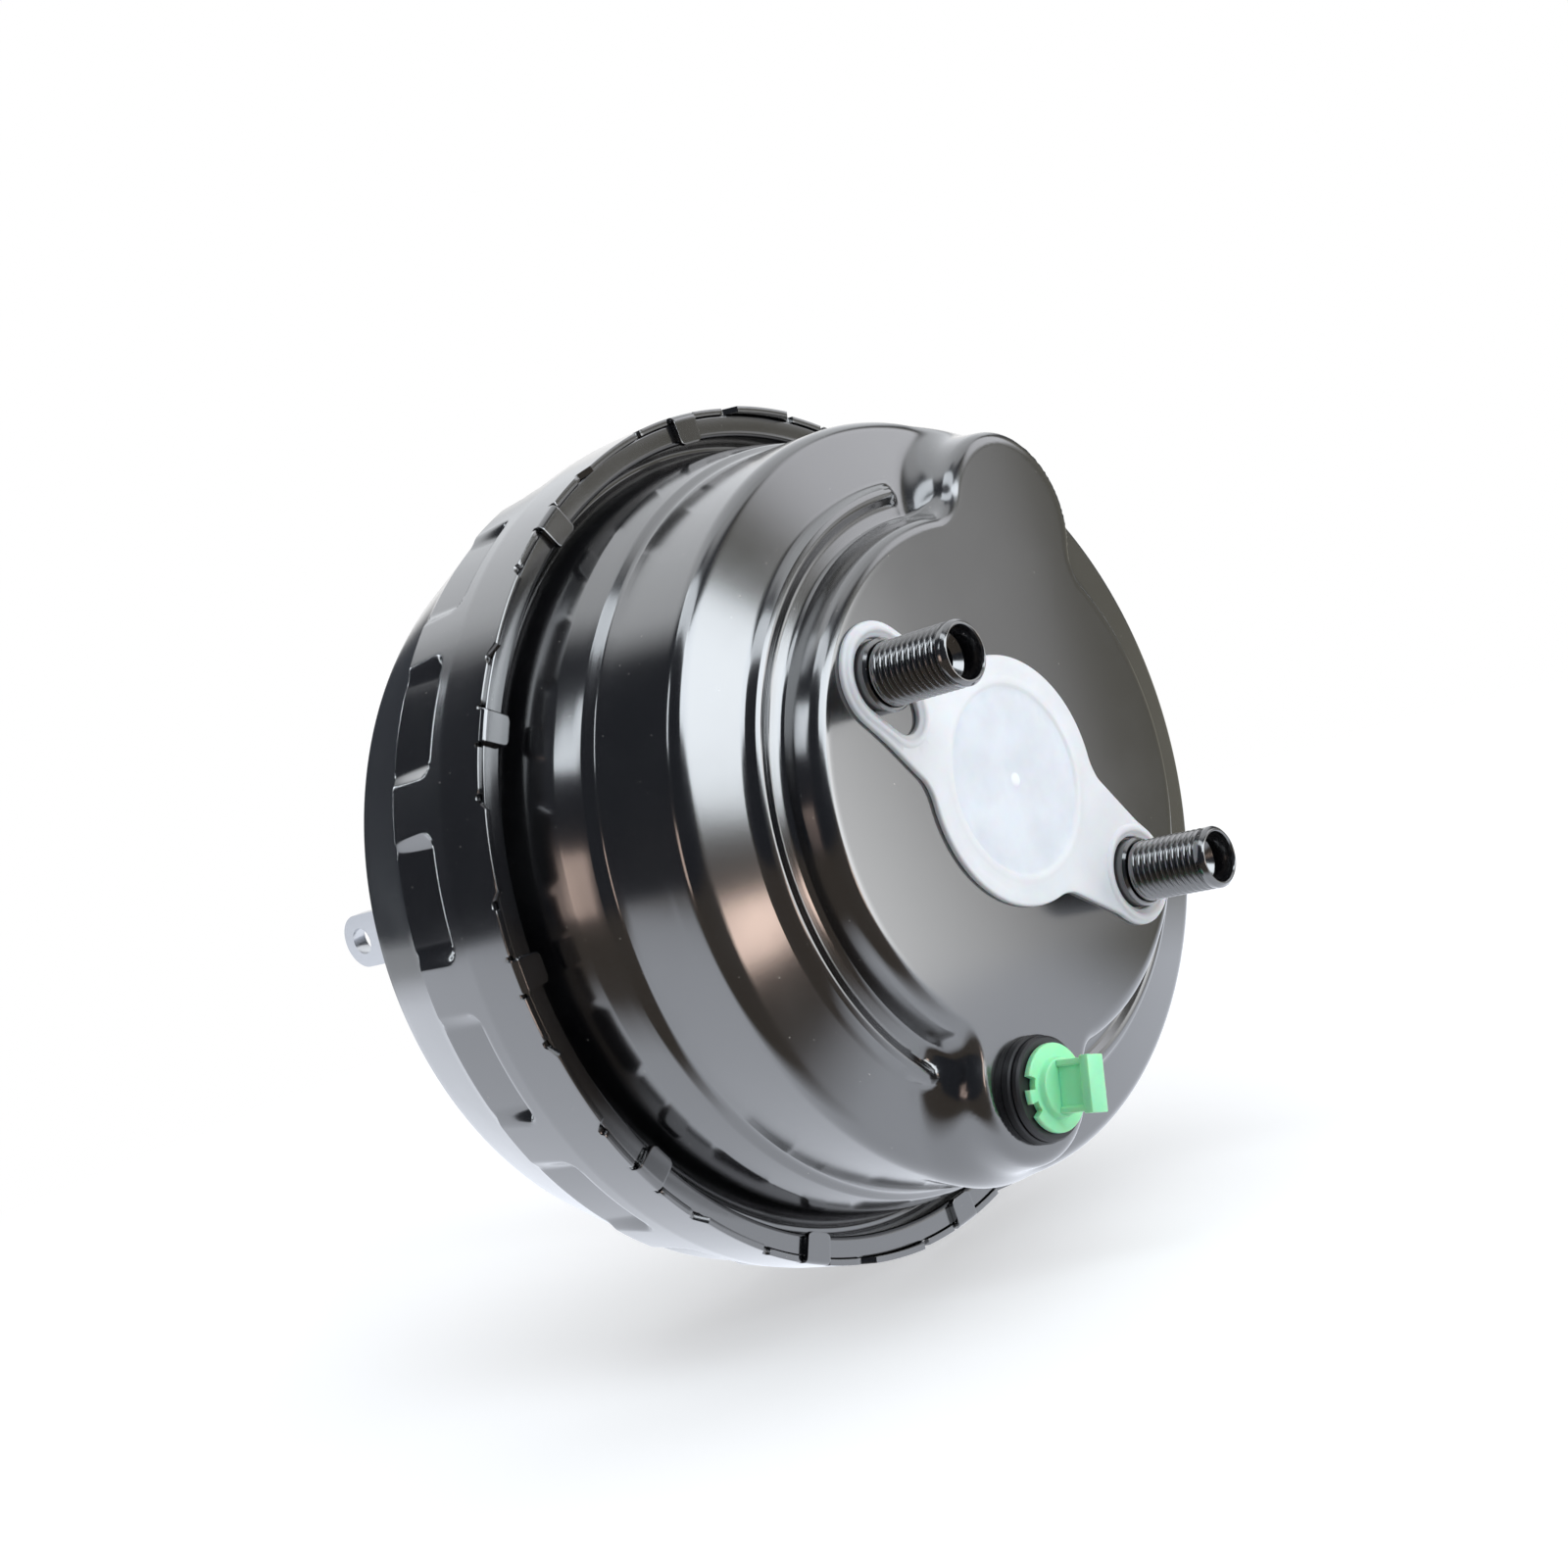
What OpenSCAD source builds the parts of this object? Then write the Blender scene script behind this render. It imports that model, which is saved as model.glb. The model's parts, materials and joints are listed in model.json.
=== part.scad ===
// Tandem vacuum brake booster with two hollow through tubes.
// The booster axis is X and points forward, from the bulkhead to the master cylinder. Z is up.
// The origin is the centre of the rear mounting face, where the booster meets the bulkhead.
// Sub-parts are drawn round a local z axis and turned onto X by forward().
// Clock angles are seen from the front: 0 is the +Y side and 90 is the top.

/* [Casing] */
// Bulkhead face to the front edge of the crimped lip
lip_x = 94; // [90:1:98]
// Outer radius of the rear shell at the lip
lip_r = 131; // [129:1:134]
// Bulkhead face to the flat front face
face_x = 166.5; // [164:0.5:170]
// Thickness of the pressed steel of both shells
sheet_t = 1.8; // [1.5:0.1:2]
// Radial play between a piece and the hole or shell it is fitted in
fit_gap = 0.1; // [0.05:0.05:0.15]
// Play between faces of pieces that move apart
face_gap = 0.3; // [0.2:0.05:0.4]
// Play between a sliding piece and its guide
run_gap = 0.06; // [0.04:0.01:0.08]
// Working stroke of the diaphragm unit
stroke = 36; // [32:1:37]

/* [Front shell] */
// How far the edge of the flat front face lies inside the lip
face_inset = 54; // [53:0.5:56]
// How far the raised bead round the face lies inside the lip
bead_inset = 43.5; // [42:0.25:44]
// How far the front drum's front corner lies inside the lip
drum_inset = 20.4; // [19:0.2:22]
// How far the crease between the two drums lies inside the lip
crease_inset = 17.5; // [17:0.1:18]
// Distance from the lip forward to the crease
crease_from_lip = 20.7; // [18:0.1:24]
// Distance from the front face back to the front corner of the drum
corner_from_face = 18.5; // [17:0.5:20]
// Depth of the groove behind the lip
groove_depth = 10; // [8:0.5:11]
// Width of the groove
groove_w = 5; // [4:0.5:6]
// Radius of the bore for the nose of the master cylinder
bore_r = 26; // [24:0.5:27]

/* [Lobes] */
// Clock angle of the top lobe
top_lobe_clock = 60.5; // [56:0.5:64]
// How far the top lobe stays inside the drum
top_lobe_inset = 4.1; // [3.8:0.1:6]
// Radius of the top lobe
top_lobe_r = 27; // [25:0.5:28]
// Clock angle of the bottom lobe with the vacuum port
port_clock = -112; // [-116:1:-108]
// How far the bottom lobe stays inside the drum
port_lobe_inset = 3.6; // [3.5:0.1:5]
// Radius of the bottom lobe
port_lobe_r = 24; // [23:0.5:25]
// How far the vacuum port lies outward of the bottom lobe's centre
port_offset = 3.7; // [3:0.1:5]
// Radius of the hole for the vacuum grommet
port_hole_r = 12.5; // [12:0.25:13]

/* [Rear shell] */
// Radius of the flat face that meets the bulkhead
seat_r = 70; // [68:1:74]
// How far the rear corner lies inside the lip
rear_corner_inset = 13; // [12:0.5:15]
// Bulkhead face to the rear corner
rear_corner_x = 21; // [20:0.5:23]
// Bulkhead face to the shoulder of the side wall
shoulder_x = 51; // [49:0.5:53]
// Number of pockets pressed into the shoulder
pocket_count = 16; // [12:1:18]
// Angle that each pocket spans
pocket_angle = 13.5; // [12:0.5:15]
// Depth of the pockets
pocket_depth = 4.5; // [3.5:0.25:5]
// Distance from the lip back to the front end of the pockets
pocket_from_lip = 22; // [21:0.5:24]
// Number of crimping tabs
tab_count = 12; // [10:1:12]
// Angle that each raised stretch of the lip spans
crimp_angle = 19; // [17:0.5:20]
// Angle that each tab spans
tab_angle = 4.6; // [4:0.2:6]
// How far the tabs reach inward
tab_reach = 8; // [6:0.5:9]
// Height of the lands pressed out between the tabs
land_h = 3; // [2:0.25:3.5]
// Outer radius of the neck that guides the control housing
neck_r = 26; // [25:0.5:27]
// Length of the neck behind the bulkhead face
neck_len = 20; // [18:1:24]

/* [Through tubes] */
// Distance between the two hollow tubes
tube_pitch = 115; // [112:1:116]
// Clock angle of the first tube
tube_clock = 135; // [130:1:140]
// Radius of the threaded ends
stud_r = 9; // [8:0.5:10]
// Length of the threaded ends ahead of the front face
stud_len = 31; // [28:1:34]
// Radius of the tubes inside the casing
tube_r = 7; // [6.5:0.25:7.5]
// Radius of the hole through the tubes
tube_bore_r = 4.6; // [4.2:0.1:5]
// Radius of the counterbore in the front end
counterbore_r = 7.2; // [6.5:0.1:7.4]
// Depth of the counterbore in the front end
counterbore_depth = 7; // [5:0.5:9]

/* [Diaphragm unit] */
// How far the two diaphragm plates stay inside the lip
plate_inset = 28; // [27:0.5:31]
// Thickness of the diaphragm plates and the centre plate
plate_t = 1.6; // [1.4:0.1:1.8]
// Thickness of the rubber of the diaphragms
rubber_t = 2; // [1.8:0.1:2.2]
// Bulkhead face to the rear face of the centre plate
centre_x = 58; // [57:0.5:59]
// Radius of the hub that slides in the centre plate
hub_r = 26; // [25:0.5:27]
// Radius of the tail that slides in the neck
tail_r = 20; // [19:0.25:21]
// Length of the tail behind the bulkhead face
tail_len = 64; // [62:1:68]
// Bulkhead face to the front end of the nose
nose_x = 76; // [75:0.5:78]
// Radius of the reaction disc's seat
reaction_r = 14; // [13:0.5:15]
// Radius of the output rod
out_rod_r = 6.5; // [6:0.5:7]
// Mean radius of the return spring
spring_r = 31; // [30:0.5:32]
// Thickness of the return spring's wire
spring_wire = 4; // [3.5:0.25:4.5]
// Turns of the return spring
spring_turns = 6; // [5:1:7]

/* [Control valve] */
// Radius of the plunger
plunger_r = 7; // [6.5:0.25:7.5]
// Radius of the plunger's valve head
head_r = 9.5; // [9:0.25:10]
// Bulkhead face back to the vacuum seat
valve_seat_back = 18; // [17:0.5:20]
// Free travel of the plunger before the disc takes it up
plunger_travel = 2; // [1.5:0.25:2.5]
// Radius of the chamber of the poppet
chamber_r = 13.5; // [13:0.25:14]
// Radius of the air inlet bore in the tail
inlet_r = 16; // [15.5:0.25:16.5]

/* [Input rod] */
// Radius of the input rod
rod_r = 5; // [4.5:0.25:5]
// Radius of the ball at its front end
ball_r = 5.5; // [5.25:0.05:5.6]
// Bulkhead face back to the pedal pin
pin_back = 139; // [135:1:145]
// Radius of the hole for the pedal pin
pin_r = 5; // [4:0.5:5.5]
// Height of the clevis
clevis_h = 20; // [18:1:22]
// Width of the clevis
clevis_w = 22; // [20:1:24]
// Width of the slot for the pedal arm
clevis_slot = 11; // [10:0.5:12]
// Swing of the rod to each side of the axis
rod_swing = 3; // [2:0.5:3]

/* [Boot] */
// Number of folds
fold_count = 5; // [4:1:6]
// Outer radius of the folds
fold_r = 31; // [30:0.5:33]
// Depth of the folds
fold_depth = 5; // [4:0.5:5.5]
// Length of the folded stretch
fold_len = 52; // [48:1:56]

/* [Bore cover] */
// Radius of the cover's disc
disc_r = 36; // [34:0.5:37]
// Thickness of the cover
cover_t = 1.6; // [1.2:0.1:2]
// Height of the raised rims
rim_h = 3; // [2:0.25:4]
// Width of the rims round the eyes
eye_rim = 4.4; // [4:0.2:5]
// How far the eyes are drawn out from the studs
eye_slide = 12; // [10:0.5:13]
// Travel for lifting the cover off the studs
cover_lift = 50; // [40:1:60]

/* [Vacuum plug] */
// Outer radius of the grommet
grommet_r = 15; // [14.5:0.25:15.5]
// Radius of the grommet's bore
grommet_bore_r = 9; // [8:0.25:9.5]
// How far the grommet stands out of the lobe
grommet_out = 5.2; // [4.6:0.2:5.8]
// Radius of the plug's flange
flange_r = 12.25; // [12:0.25:12.75]
// Length of the pull tab
pull_len = 16.5; // [14:0.5:18]
// Height of the pull tab
pull_h = 15; // [13:0.5:16]
// Thickness of the pull tab
pull_t = 5.6; // [5:0.2:6.4]

/* [Hidden] */
$fn = 96;

// Corner arcs of the pressed sheets, and the wire mesh of the springs
arc_steps = 4;

// Stations of the casing along the axis
groove_x = lip_x - groove_depth;
face_r = lip_r - face_inset;
bead_r = lip_r - bead_inset;
drum_r = lip_r - drum_inset;
crease_r = lip_r - crease_inset;
rear_corner_r = lip_r - rear_corner_inset;
rim_r = lip_r - sheet_t - 2 * fit_gap;
rim_x = lip_x - sheet_t - fit_gap;
crease_x = lip_x + crease_from_lip;
corner_x = face_x - corner_from_face;
inner_face_x = face_x - sheet_t;
pocket_x = lip_x - pocket_from_lip;
land_edge_x = lip_x - 3.5;
side_drop = 2;

// Bead and annulus at the foot of the front face
bead_h = 1.6;
bead_w = 4.4;
foot_x = face_x - 11.5;
foot_r = face_r + 2.6;

// Step between the seat and the cone of the rear shell, and the slope of the cone
seat_step = 4;
seat_step_r = seat_r + 5;
cone_r = rear_corner_r - 3;
cone_x = rear_corner_x - 4;
cone_slope = (cone_x - seat_step) / (cone_r - seat_step_r);

// Centres of the lobes and of the vacuum port
top_lobe_at = drum_r - top_lobe_inset - top_lobe_r;
port_lobe_at = drum_r - port_lobe_inset - port_lobe_r;
port_at = port_lobe_at + port_offset;

// Seats of the through tubes
tube_at = tube_pitch / 2;
tube_clocks = [tube_clock, tube_clock + 180];
shoulder_r = 11.5;
shoulder_w = 3;
collar_r = 10.2;
collar_w = 4.5;
relief_r = stud_r - 0.4;
thread_x = face_x + collar_w + face_gap;
stud_end_x = face_x + stud_len;

// Clamped stack between the pockets and the groove: rear bead, centre plate, front bead
stack_back_x = pocket_x + sheet_t + fit_gap;
stack_front_x = groove_x - sheet_t - fit_gap;
stack_x = (stack_back_x + stack_front_x - plate_t) / 2;
stack_r = lip_r - sheet_t - 0.6;
wall_r = lip_r - side_drop - pocket_depth - sheet_t - 1.1;

// Hub of the diaphragm unit
plate_r = lip_r - plate_inset;
tail_x = -tail_len;
neck_flange_t = 1.4;
neck_flange_w = 3.5;
rear_flange_x = sheet_t + fit_gap + neck_flange_t + 2 * face_gap;
rear_flange_w = 2.6;
rear_flange_r = hub_r + 6;
rear_rubber_x = rear_flange_x + rear_flange_w + fit_gap;
rear_plate_x = rear_rubber_x + rubber_t + fit_gap;
rear_ring_x = rear_plate_x + plate_t + fit_gap;
rear_ring_w = 2.5;
hub_end_x = centre_x + plate_t + 3.9;
front_rubber_x = hub_end_x + fit_gap;
front_plate_x = front_rubber_x + rubber_t + fit_gap;
lock_ring_x = front_plate_x + plate_t + fit_gap;
lock_ring_w = 2.6;
vent_x = rear_ring_x + rear_ring_w + fit_gap;
vent_w = 2.5;
nose_r = hub_r - 6.2;
reaction_x = nose_x - 16;
disc_t = 5.4;
base_x = reaction_x + disc_t + 2 * fit_gap;
base_t = 4.6;
out_tip_x = face_x - stroke - 1;

// Seal cup of the centre plate, just ahead of the rear ring at full stroke
cup_x = rear_ring_x + rear_ring_w + stroke + 2 * face_gap;
cup_r = hub_r + 5;

// Bushes that slide on the tubes
bush_r = tube_r + 2.2;
bush_flange_r = tube_r + 4;

// Stations of the control valve
valve_x = -valve_seat_back;
seat_lip = 1;
chamber_x = valve_x - 9;
head_room = 10;
ball_x = valve_x + 6.5;
neck_end_x = -neck_len;
guide_x = -1;
guide_back_x = (neck_end_x + sheet_t + guide_x) / 2;
slot_w = 2.4;
key_x = guide_x + face_gap;
key_t = 2.2;
key_w = 12;
key_len = 2 * (neck_r - sheet_t - 1);
groove_core_r = plunger_r - 2.5;
poppet_x = valve_x - seat_lip - fit_gap;
poppet_t = 2;
bead_x = chamber_x - fit_gap;
bead_t = 2.1;
retainer_x = bead_x - bead_t - fit_gap;
retainer_len = 7;
retainer_t = 1.2;

// Stations of the input rod
rod_spring_len = 23;
rod_ring_x = chamber_x - rod_spring_len;
ring_r = rod_r + 2.5;
rod_neck_len = 9;
washer_t = 1.4;
pin_x = -pin_back;
clevis_front_x = pin_x + 15;
clevis_back_x = pin_x - clevis_h / 2;
nut_w = 6;

// Boot
boot_t = 1.6;
boot_x = neck_end_x - 2.5;
boot_end_x = boot_x - fold_len;
mouth_x = boot_end_x - 8;
mouth_len = 9;

// Bore cover
cover_x = face_x + fit_gap;
eye_hole_r = collar_r + 0.6;
eye_clock = -71;
eye_end_r = 6;
bar_start = 20;
bar_r = 21;

// Grommet and plug
grommet_x = face_x + grommet_out;
plug_x = grommet_x + face_gap;
plug_flange_t = 2;

// Turns the local z axis onto X, local x onto Y and local y onto Z
module forward() {
  rotate([90, 0, 90]) children();
}

// Solid of revolution from points given as [radius, station]
module spin(points, angle = 360) {
  rotate_extrude(angle = angle) polygon(points);
}

// Ring between two radii and two stations
module ring(r_in, r_out, x0, x1) {
  difference() {
    translate([0, 0, x0]) cylinder(r = r_out, h = x1 - x0);
    translate([0, 0, x0 - 1]) cylinder(r = r_in, h = x1 - x0 + 2);
  }
}

// Solid rod between two stations
module rod(r, x0, x1) {
  translate([0, 0, x0]) cylinder(r = r, h = x1 - x0);
}

// Children placed at a distance from the axis and at a clock angle
module at_clock(distance, clock) {
  rotate([0, 0, clock]) translate([distance, 0, 0]) children();
}

// Children placed on both through tubes
module at_tubes() {
  for (clock = tube_clocks) at_clock(tube_at, clock) children();
}

// Piece of a ring that spans an angle, centred on a clock angle
module sector(r_in, r_out, x0, x1, angle, clock) {
  rotate([0, 0, clock - angle / 2])
    spin([[r_in, x0], [r_out, x0], [r_out, x1], [r_in, x1]], angle);
}

// Unit vector along v
function unit(v) = v / norm(v);

// Vector v turned a quarter turn to its left
function turned(v) = [-v[1], v[0]];

// Line p moved sideways by t, with mitred corners
function shifted(p, t) = [
  for (i = [0 : len(p) - 1])
    let (
      last = len(p) - 1,
      before = turned(unit(i > 0 ? p[i] - p[i - 1] : p[1] - p[0])),
      after = turned(unit(i < last ? p[i + 1] - p[i] : p[last] - p[last - 1]))
    )
    p[i] + t * (before + after) / (1 + before * after)];

// Arc that rounds the corner b between a and c with radius r
function arc(a, b, c, r, steps = arc_steps) =
  let (
    u = unit(a - b),
    v = unit(c - b),
    open = acos(u * v),
    middle = b + unit(u + v) * r / sin(open / 2),
    start = b + u * r / tan(open / 2) - middle,
    finish = b + v * r / tan(open / 2) - middle,
    turn = start[0] * finish[1] - start[1] * finish[0] > 0 ? 1 : -1
  )
  [for (i = [0 : steps]) let (a = turn * (180 - open) * i / steps)
    middle + [start[0] * cos(a) - start[1] * sin(a), start[0] * sin(a) + start[1] * cos(a)]];

// Line with rounded corners from points given as [radius, station, corner radius]
function rounded(q) = [
  for (i = [0 : len(q) - 1])
    let (p = [q[i][0], q[i][1]])
    each (q[i][2] == 0 ? [p] : arc([q[i - 1][0], q[i - 1][1]], p, [q[i + 1][0], q[i + 1][1]], q[i][2]))];

// Closed outline of a sheet of thickness t whose visible side is line p
function sheet(p, t) = concat(p, [for (i = [len(p) - 1 : -1 : 0]) shifted(p, t)[i]]);

// Centre line of a coil spring with closed end turns
function coil_points(r, x0, x1, turns, per_turn) = [
  for (i = [0 : turns * per_turn])
    let (
      s = i / (turns * per_turn),
      flat = 0.75 / turns,
      rise = s < flat ? 0 : s > 1 - flat ? 1 : (s - flat) / (1 - 2 * flat),
      a = 360 * i / per_turn
    )
    [r * cos(a), r * sin(a), x0 + (x1 - x0) * rise]];

// Coil spring between two stations, as one swept wire
module coil(r, wire, x0, x1, turns, per_turn = 20, sides = 8) {
  line = coil_points(r, x0 + wire / 2, x1 - wire / 2, turns, per_turn);
  count = len(line);
  points = [
    for (i = [0 : count - 1])
      for (k = [0 : sides - 1])
        let (
          out = unit([line[i][0], line[i][1], 0]),
          b = 360 * k / sides
        )
        line[i] + wire / 2 * (cos(b) * out + [0, 0, sin(b)])];
  walls = [
    for (i = [0 : count - 2])
      for (k = [0 : sides - 1])
        let (
          n = (k + 1) % sides,
          p = i * sides
        )
        [p + k, p + n, p + sides + n, p + sides + k]];
  ends = [
    [for (k = [sides - 1 : -1 : 0]) k],
    [for (k = [0 : sides - 1]) (count - 1) * sides + k]];
  polyhedron(points = points, faces = concat(walls, ends), convexity = 10);
}

// Visible side of the front shell, from the crimped rim to the bore
function front_line() = rounded([
  [rim_r - sheet_t, rim_x, 0],
  [rim_r - sheet_t, groove_x, 2.2],
  [rim_r - sheet_t - groove_w, groove_x, 2.2],
  [crease_r + 2.4, crease_x - 9, 8],
  [crease_r, crease_x, 2.4],
  [drum_r + 0.8, crease_x + 2.2, 3],
  [drum_r, corner_x, 5],
  [bead_r + bead_w / 2, foot_x - 1, 0],
  [bead_r + bead_w / 4, foot_x - 1 + bead_h, 0],
  [bead_r - bead_w / 4, foot_x - 1 + bead_h, 0],
  [bead_r - bead_w / 2, foot_x, 0],
  [foot_r, foot_x, 2],
  [face_r, face_x, 3.5],
  [bore_r, face_x, 0]]);

// Boss of a lobe, drawn in by inset on every side
module lobe(at, r, clock, inset) {
  top = face_x - inset;
  low = corner_x - 3;
  flare = 3.4;
  round = 3;
  at_clock(at, clock)
    spin([
      [0, low], [r + flare - inset, low], [r + 0.4 - inset, top - round],
      [r - 0.9 - inset, top - 0.9], [r - round - inset, top], [0, top]]);
}

module both_lobes(inset) {
  lobe(top_lobe_at, top_lobe_r, top_lobe_clock, inset);
  lobe(port_lobe_at, port_lobe_r, port_clock, inset);
}

module front_shell() {
  line = front_line();
  inner = shifted(line, sheet_t);
  drum_start = arc_steps + 2;
  inside = [for (i = [drum_start : len(inner) - 1]) inner[i]];
  back_x = groove_x - sheet_t;
  color([0.12, 0.12, 0.13]) forward()
    difference() {
      union() {
        spin(concat([[rim_r, rim_x]], line, [[0, face_x], [0, back_x], [rim_r, back_x]]));
        both_lobes(0);
      }
      spin(concat([[0, back_x - 1], [inside[0][0], back_x - 1]], inside, [[0, inner_face_x]]));
      both_lobes(sheet_t);
      rod(bore_r, inner_face_x - 1, face_x + 1);
      at_tubes() rod(stud_r + fit_gap, inner_face_x - 1, face_x + 1);
      at_clock(port_at, port_clock) rod(port_hole_r, inner_face_x - 1, face_x + 1);
    }
}

// Outer side of the rear shell, from the hole for the neck to the edge of the lip
function rear_line() = rounded([
  [neck_r, 0, 0],
  [seat_r, 0, 3],
  [seat_step_r, seat_step, 4],
  [cone_r, cone_x, 2.5],
  [rear_corner_r, rear_corner_x, 2.5],
  [lip_r - side_drop, shoulder_x, 4],
  [lip_r, pocket_x + 4, 0],
  [lip_r, lip_x, 0]]);

// Station of the inner side of the rear shell's cone at radius r
function shell_floor(r) =
  seat_step + (r - seat_step_r) * cone_slope + sheet_t * sqrt(1 + cone_slope * cone_slope);

// Pockets of the shoulder, drawn out by grow on every side
module pockets(grow) {
  floor_r = lip_r - side_drop - pocket_depth - grow;
  for (i = [0 : pocket_count - 1])
    sector(floor_r, lip_r + 5, rear_corner_x + 4, pocket_x + grow,
      pocket_angle + 2 * atan(grow / floor_r), (i + 0.5) * 360 / pocket_count);
}

// Lands pressed out between the tabs, drawn in by inset
module lands(inset, front) {
  for (i = [0 : tab_count - 1])
    sector(lip_r - sheet_t - 1, lip_r + land_h - inset, lip_x - 14 + inset, front,
      360 / tab_count - crimp_angle + 1 - 2 * atan(inset / lip_r), (i + 0.5) * 360 / tab_count);
}

// Steps cut into the lip between the crimped stretches, and the slits beside the tabs
module lip_cuts() {
  for (i = [0 : tab_count - 1]) {
    clock = i * 360 / tab_count;
    sector(lip_r - 4, lip_r + 5, land_edge_x, lip_x + 1,
      360 / tab_count - crimp_angle, clock + 180 / tab_count);
    for (side = [-1, 1])
      sector(lip_r - 4, lip_r + 5, lip_x - 2.6, lip_x + 1, 0.9, clock + side * (tab_angle / 2 + 0.45));
  }
}

module rear_shell() {
  line = rear_line();
  inner = shifted(line, sheet_t);
  beyond = lip_x + 1;
  color([0.1, 0.1, 0.11]) forward()
    union() {
      difference() {
        union() {
          spin(concat(line, [[0, lip_x], [0, 0]]));
          lands(0, land_edge_x);
        }
        pockets(0);
        difference() {
          spin(concat([[0, sheet_t]], inner, [[lip_r - sheet_t, beyond], [0, beyond]]));
          pockets(sheet_t);
        }
        lands(sheet_t, beyond);
        lip_cuts();
        rod(neck_r + fit_gap, -1, sheet_t + 1);
        at_tubes() rod(relief_r + fit_gap, -1, sheet_t + 1);
      }
      for (i = [0 : tab_count - 1])
        sector(lip_r - tab_reach, lip_r - sheet_t / 2, lip_x - sheet_t, lip_x + 0.2,
          tab_angle - 0.3, i * 360 / tab_count);
    }
}

// Sleeve welded into the rear shell, whose neck guides the control housing
module neck_sleeve() {
  inner_r = neck_r - sheet_t;
  flange_x = sheet_t + fit_gap;
  flange_end_x = flange_x + neck_flange_t;
  color([0.1, 0.1, 0.11]) forward()
    spin([
      [tail_r + 1.4, neck_end_x], [neck_r - 1, neck_end_x], [neck_r, neck_end_x + 1], [neck_r, flange_x],
      [neck_r + neck_flange_w, flange_x], [neck_r + neck_flange_w, flange_end_x], [inner_r, flange_end_x],
      [inner_r, neck_end_x + sheet_t], [tail_r + 1.4, neck_end_x + sheet_t]]);
}

// Fixed wall between the two chambers, with a cup for its seal
module centre_plate() {
  line = [
    [stack_r, stack_x], [plate_r + 14, stack_x], [plate_r - 6, centre_x], [cup_r, centre_x],
    [cup_r, cup_x], [hub_r + 1, cup_x]];
  color([0.45, 0.46, 0.48]) forward()
    difference() {
      spin(sheet(line, -plate_t));
      at_tubes() rod(bush_r + fit_gap, centre_x - 1, centre_x + plate_t + 1);
    }
}

// Lip seal between a cup and a sliding rod
module lip_seal(r_in, r_out, x0, x1) {
  mid = (x0 + x1) / 2;
  spin([
    [r_in, x0], [r_out, x0], [r_out, x1], [r_out - 1, x1], [r_out - 1.4, mid],
    [r_in + 1.2, mid], [r_in + 0.8, x1], [r_in, x1]]);
}

module centre_seal() {
  color([0.08, 0.08, 0.08]) forward()
    lip_seal(hub_r + run_gap, cup_r - plate_t - fit_gap, cup_x + plate_t + fit_gap, centre_x + plate_t);
}

module rear_seal() {
  color([0.08, 0.08, 0.08]) forward()
    lip_seal(tail_r + run_gap, neck_r - sheet_t - fit_gap, neck_end_x + sheet_t + fit_gap, guide_back_x);
}

// Plastic ring that guides the tail in the neck, and on which the stop key rests
module rear_guide_ring() {
  color([0.85, 0.83, 0.75]) forward()
    difference() {
      ring(tail_r + run_gap, neck_r - sheet_t - fit_gap, guide_back_x + fit_gap, guide_x);
      for (i = [0 : 5])
        rotate([0, 0, i * 60]) translate([tail_r - slot_w / 2, -1, guide_back_x - 1])
          cube([slot_w, 2, guide_x - guide_back_x + 2]);
    }
}

// Hollow tubes that tie both shells together and carry the master cylinder
module through_tubes() {
  tip = stud_end_x;
  floor_x = tip - counterbore_depth;
  line = [
    [relief_r, 0], [relief_r, sheet_t], [shoulder_r, sheet_t], [shoulder_r, sheet_t + shoulder_w],
    [tube_r, sheet_t + shoulder_w], [tube_r, inner_face_x - shoulder_w],
    [shoulder_r, inner_face_x - shoulder_w], [shoulder_r, inner_face_x], [relief_r, inner_face_x],
    [relief_r, thread_x], [stud_r, thread_x], [stud_r, tip - 1.6], [stud_r - 1.2, tip],
    [counterbore_r + 0.5, tip], [counterbore_r, tip - 0.6], [counterbore_r, floor_x],
    [tube_bore_r, floor_x - 1.5], [tube_bore_r, 0]];
  color([0.16, 0.17, 0.19]) forward()
    at_tubes() spin(line);
}

module tube_collars() {
  end = face_x + collar_w;
  color([0.14, 0.14, 0.15]) forward()
    at_tubes()
      spin([[stud_r + 2 * fit_gap, face_x + fit_gap], [collar_r, face_x + fit_gap], [collar_r, end - 0.8],
        [collar_r - 0.6, end], [stud_r + 2 * fit_gap, end]]);
}

// Rings of round rubber behind the front shoulders of the tubes
module tube_front_seals() {
  cord = 2.6;
  color([0.07, 0.07, 0.07]) forward()
    at_tubes() translate([0, 0, inner_face_x - shoulder_w - cord / 2 - fit_gap])
      rotate_extrude() translate([tube_r + cord / 2 + fit_gap, 0]) circle(d = cord);
}

// Grommets that seal the tubes in the centre plate
module tube_centre_seals() {
  lip = 0.7 * rubber_t;
  x0 = centre_x - lip;
  x1 = centre_x + plate_t + lip;
  color([0.07, 0.07, 0.07]) forward()
    at_tubes()
      spin([[tube_r + fit_gap, x0], [bush_flange_r, x0], [bush_flange_r, centre_x - fit_gap],
        [bush_r, centre_x - fit_gap], [bush_r, centre_x + plate_t + fit_gap],
        [bush_flange_r, centre_x + plate_t + fit_gap], [bush_flange_r, x1], [tube_r + fit_gap, x1]]);
}

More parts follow.
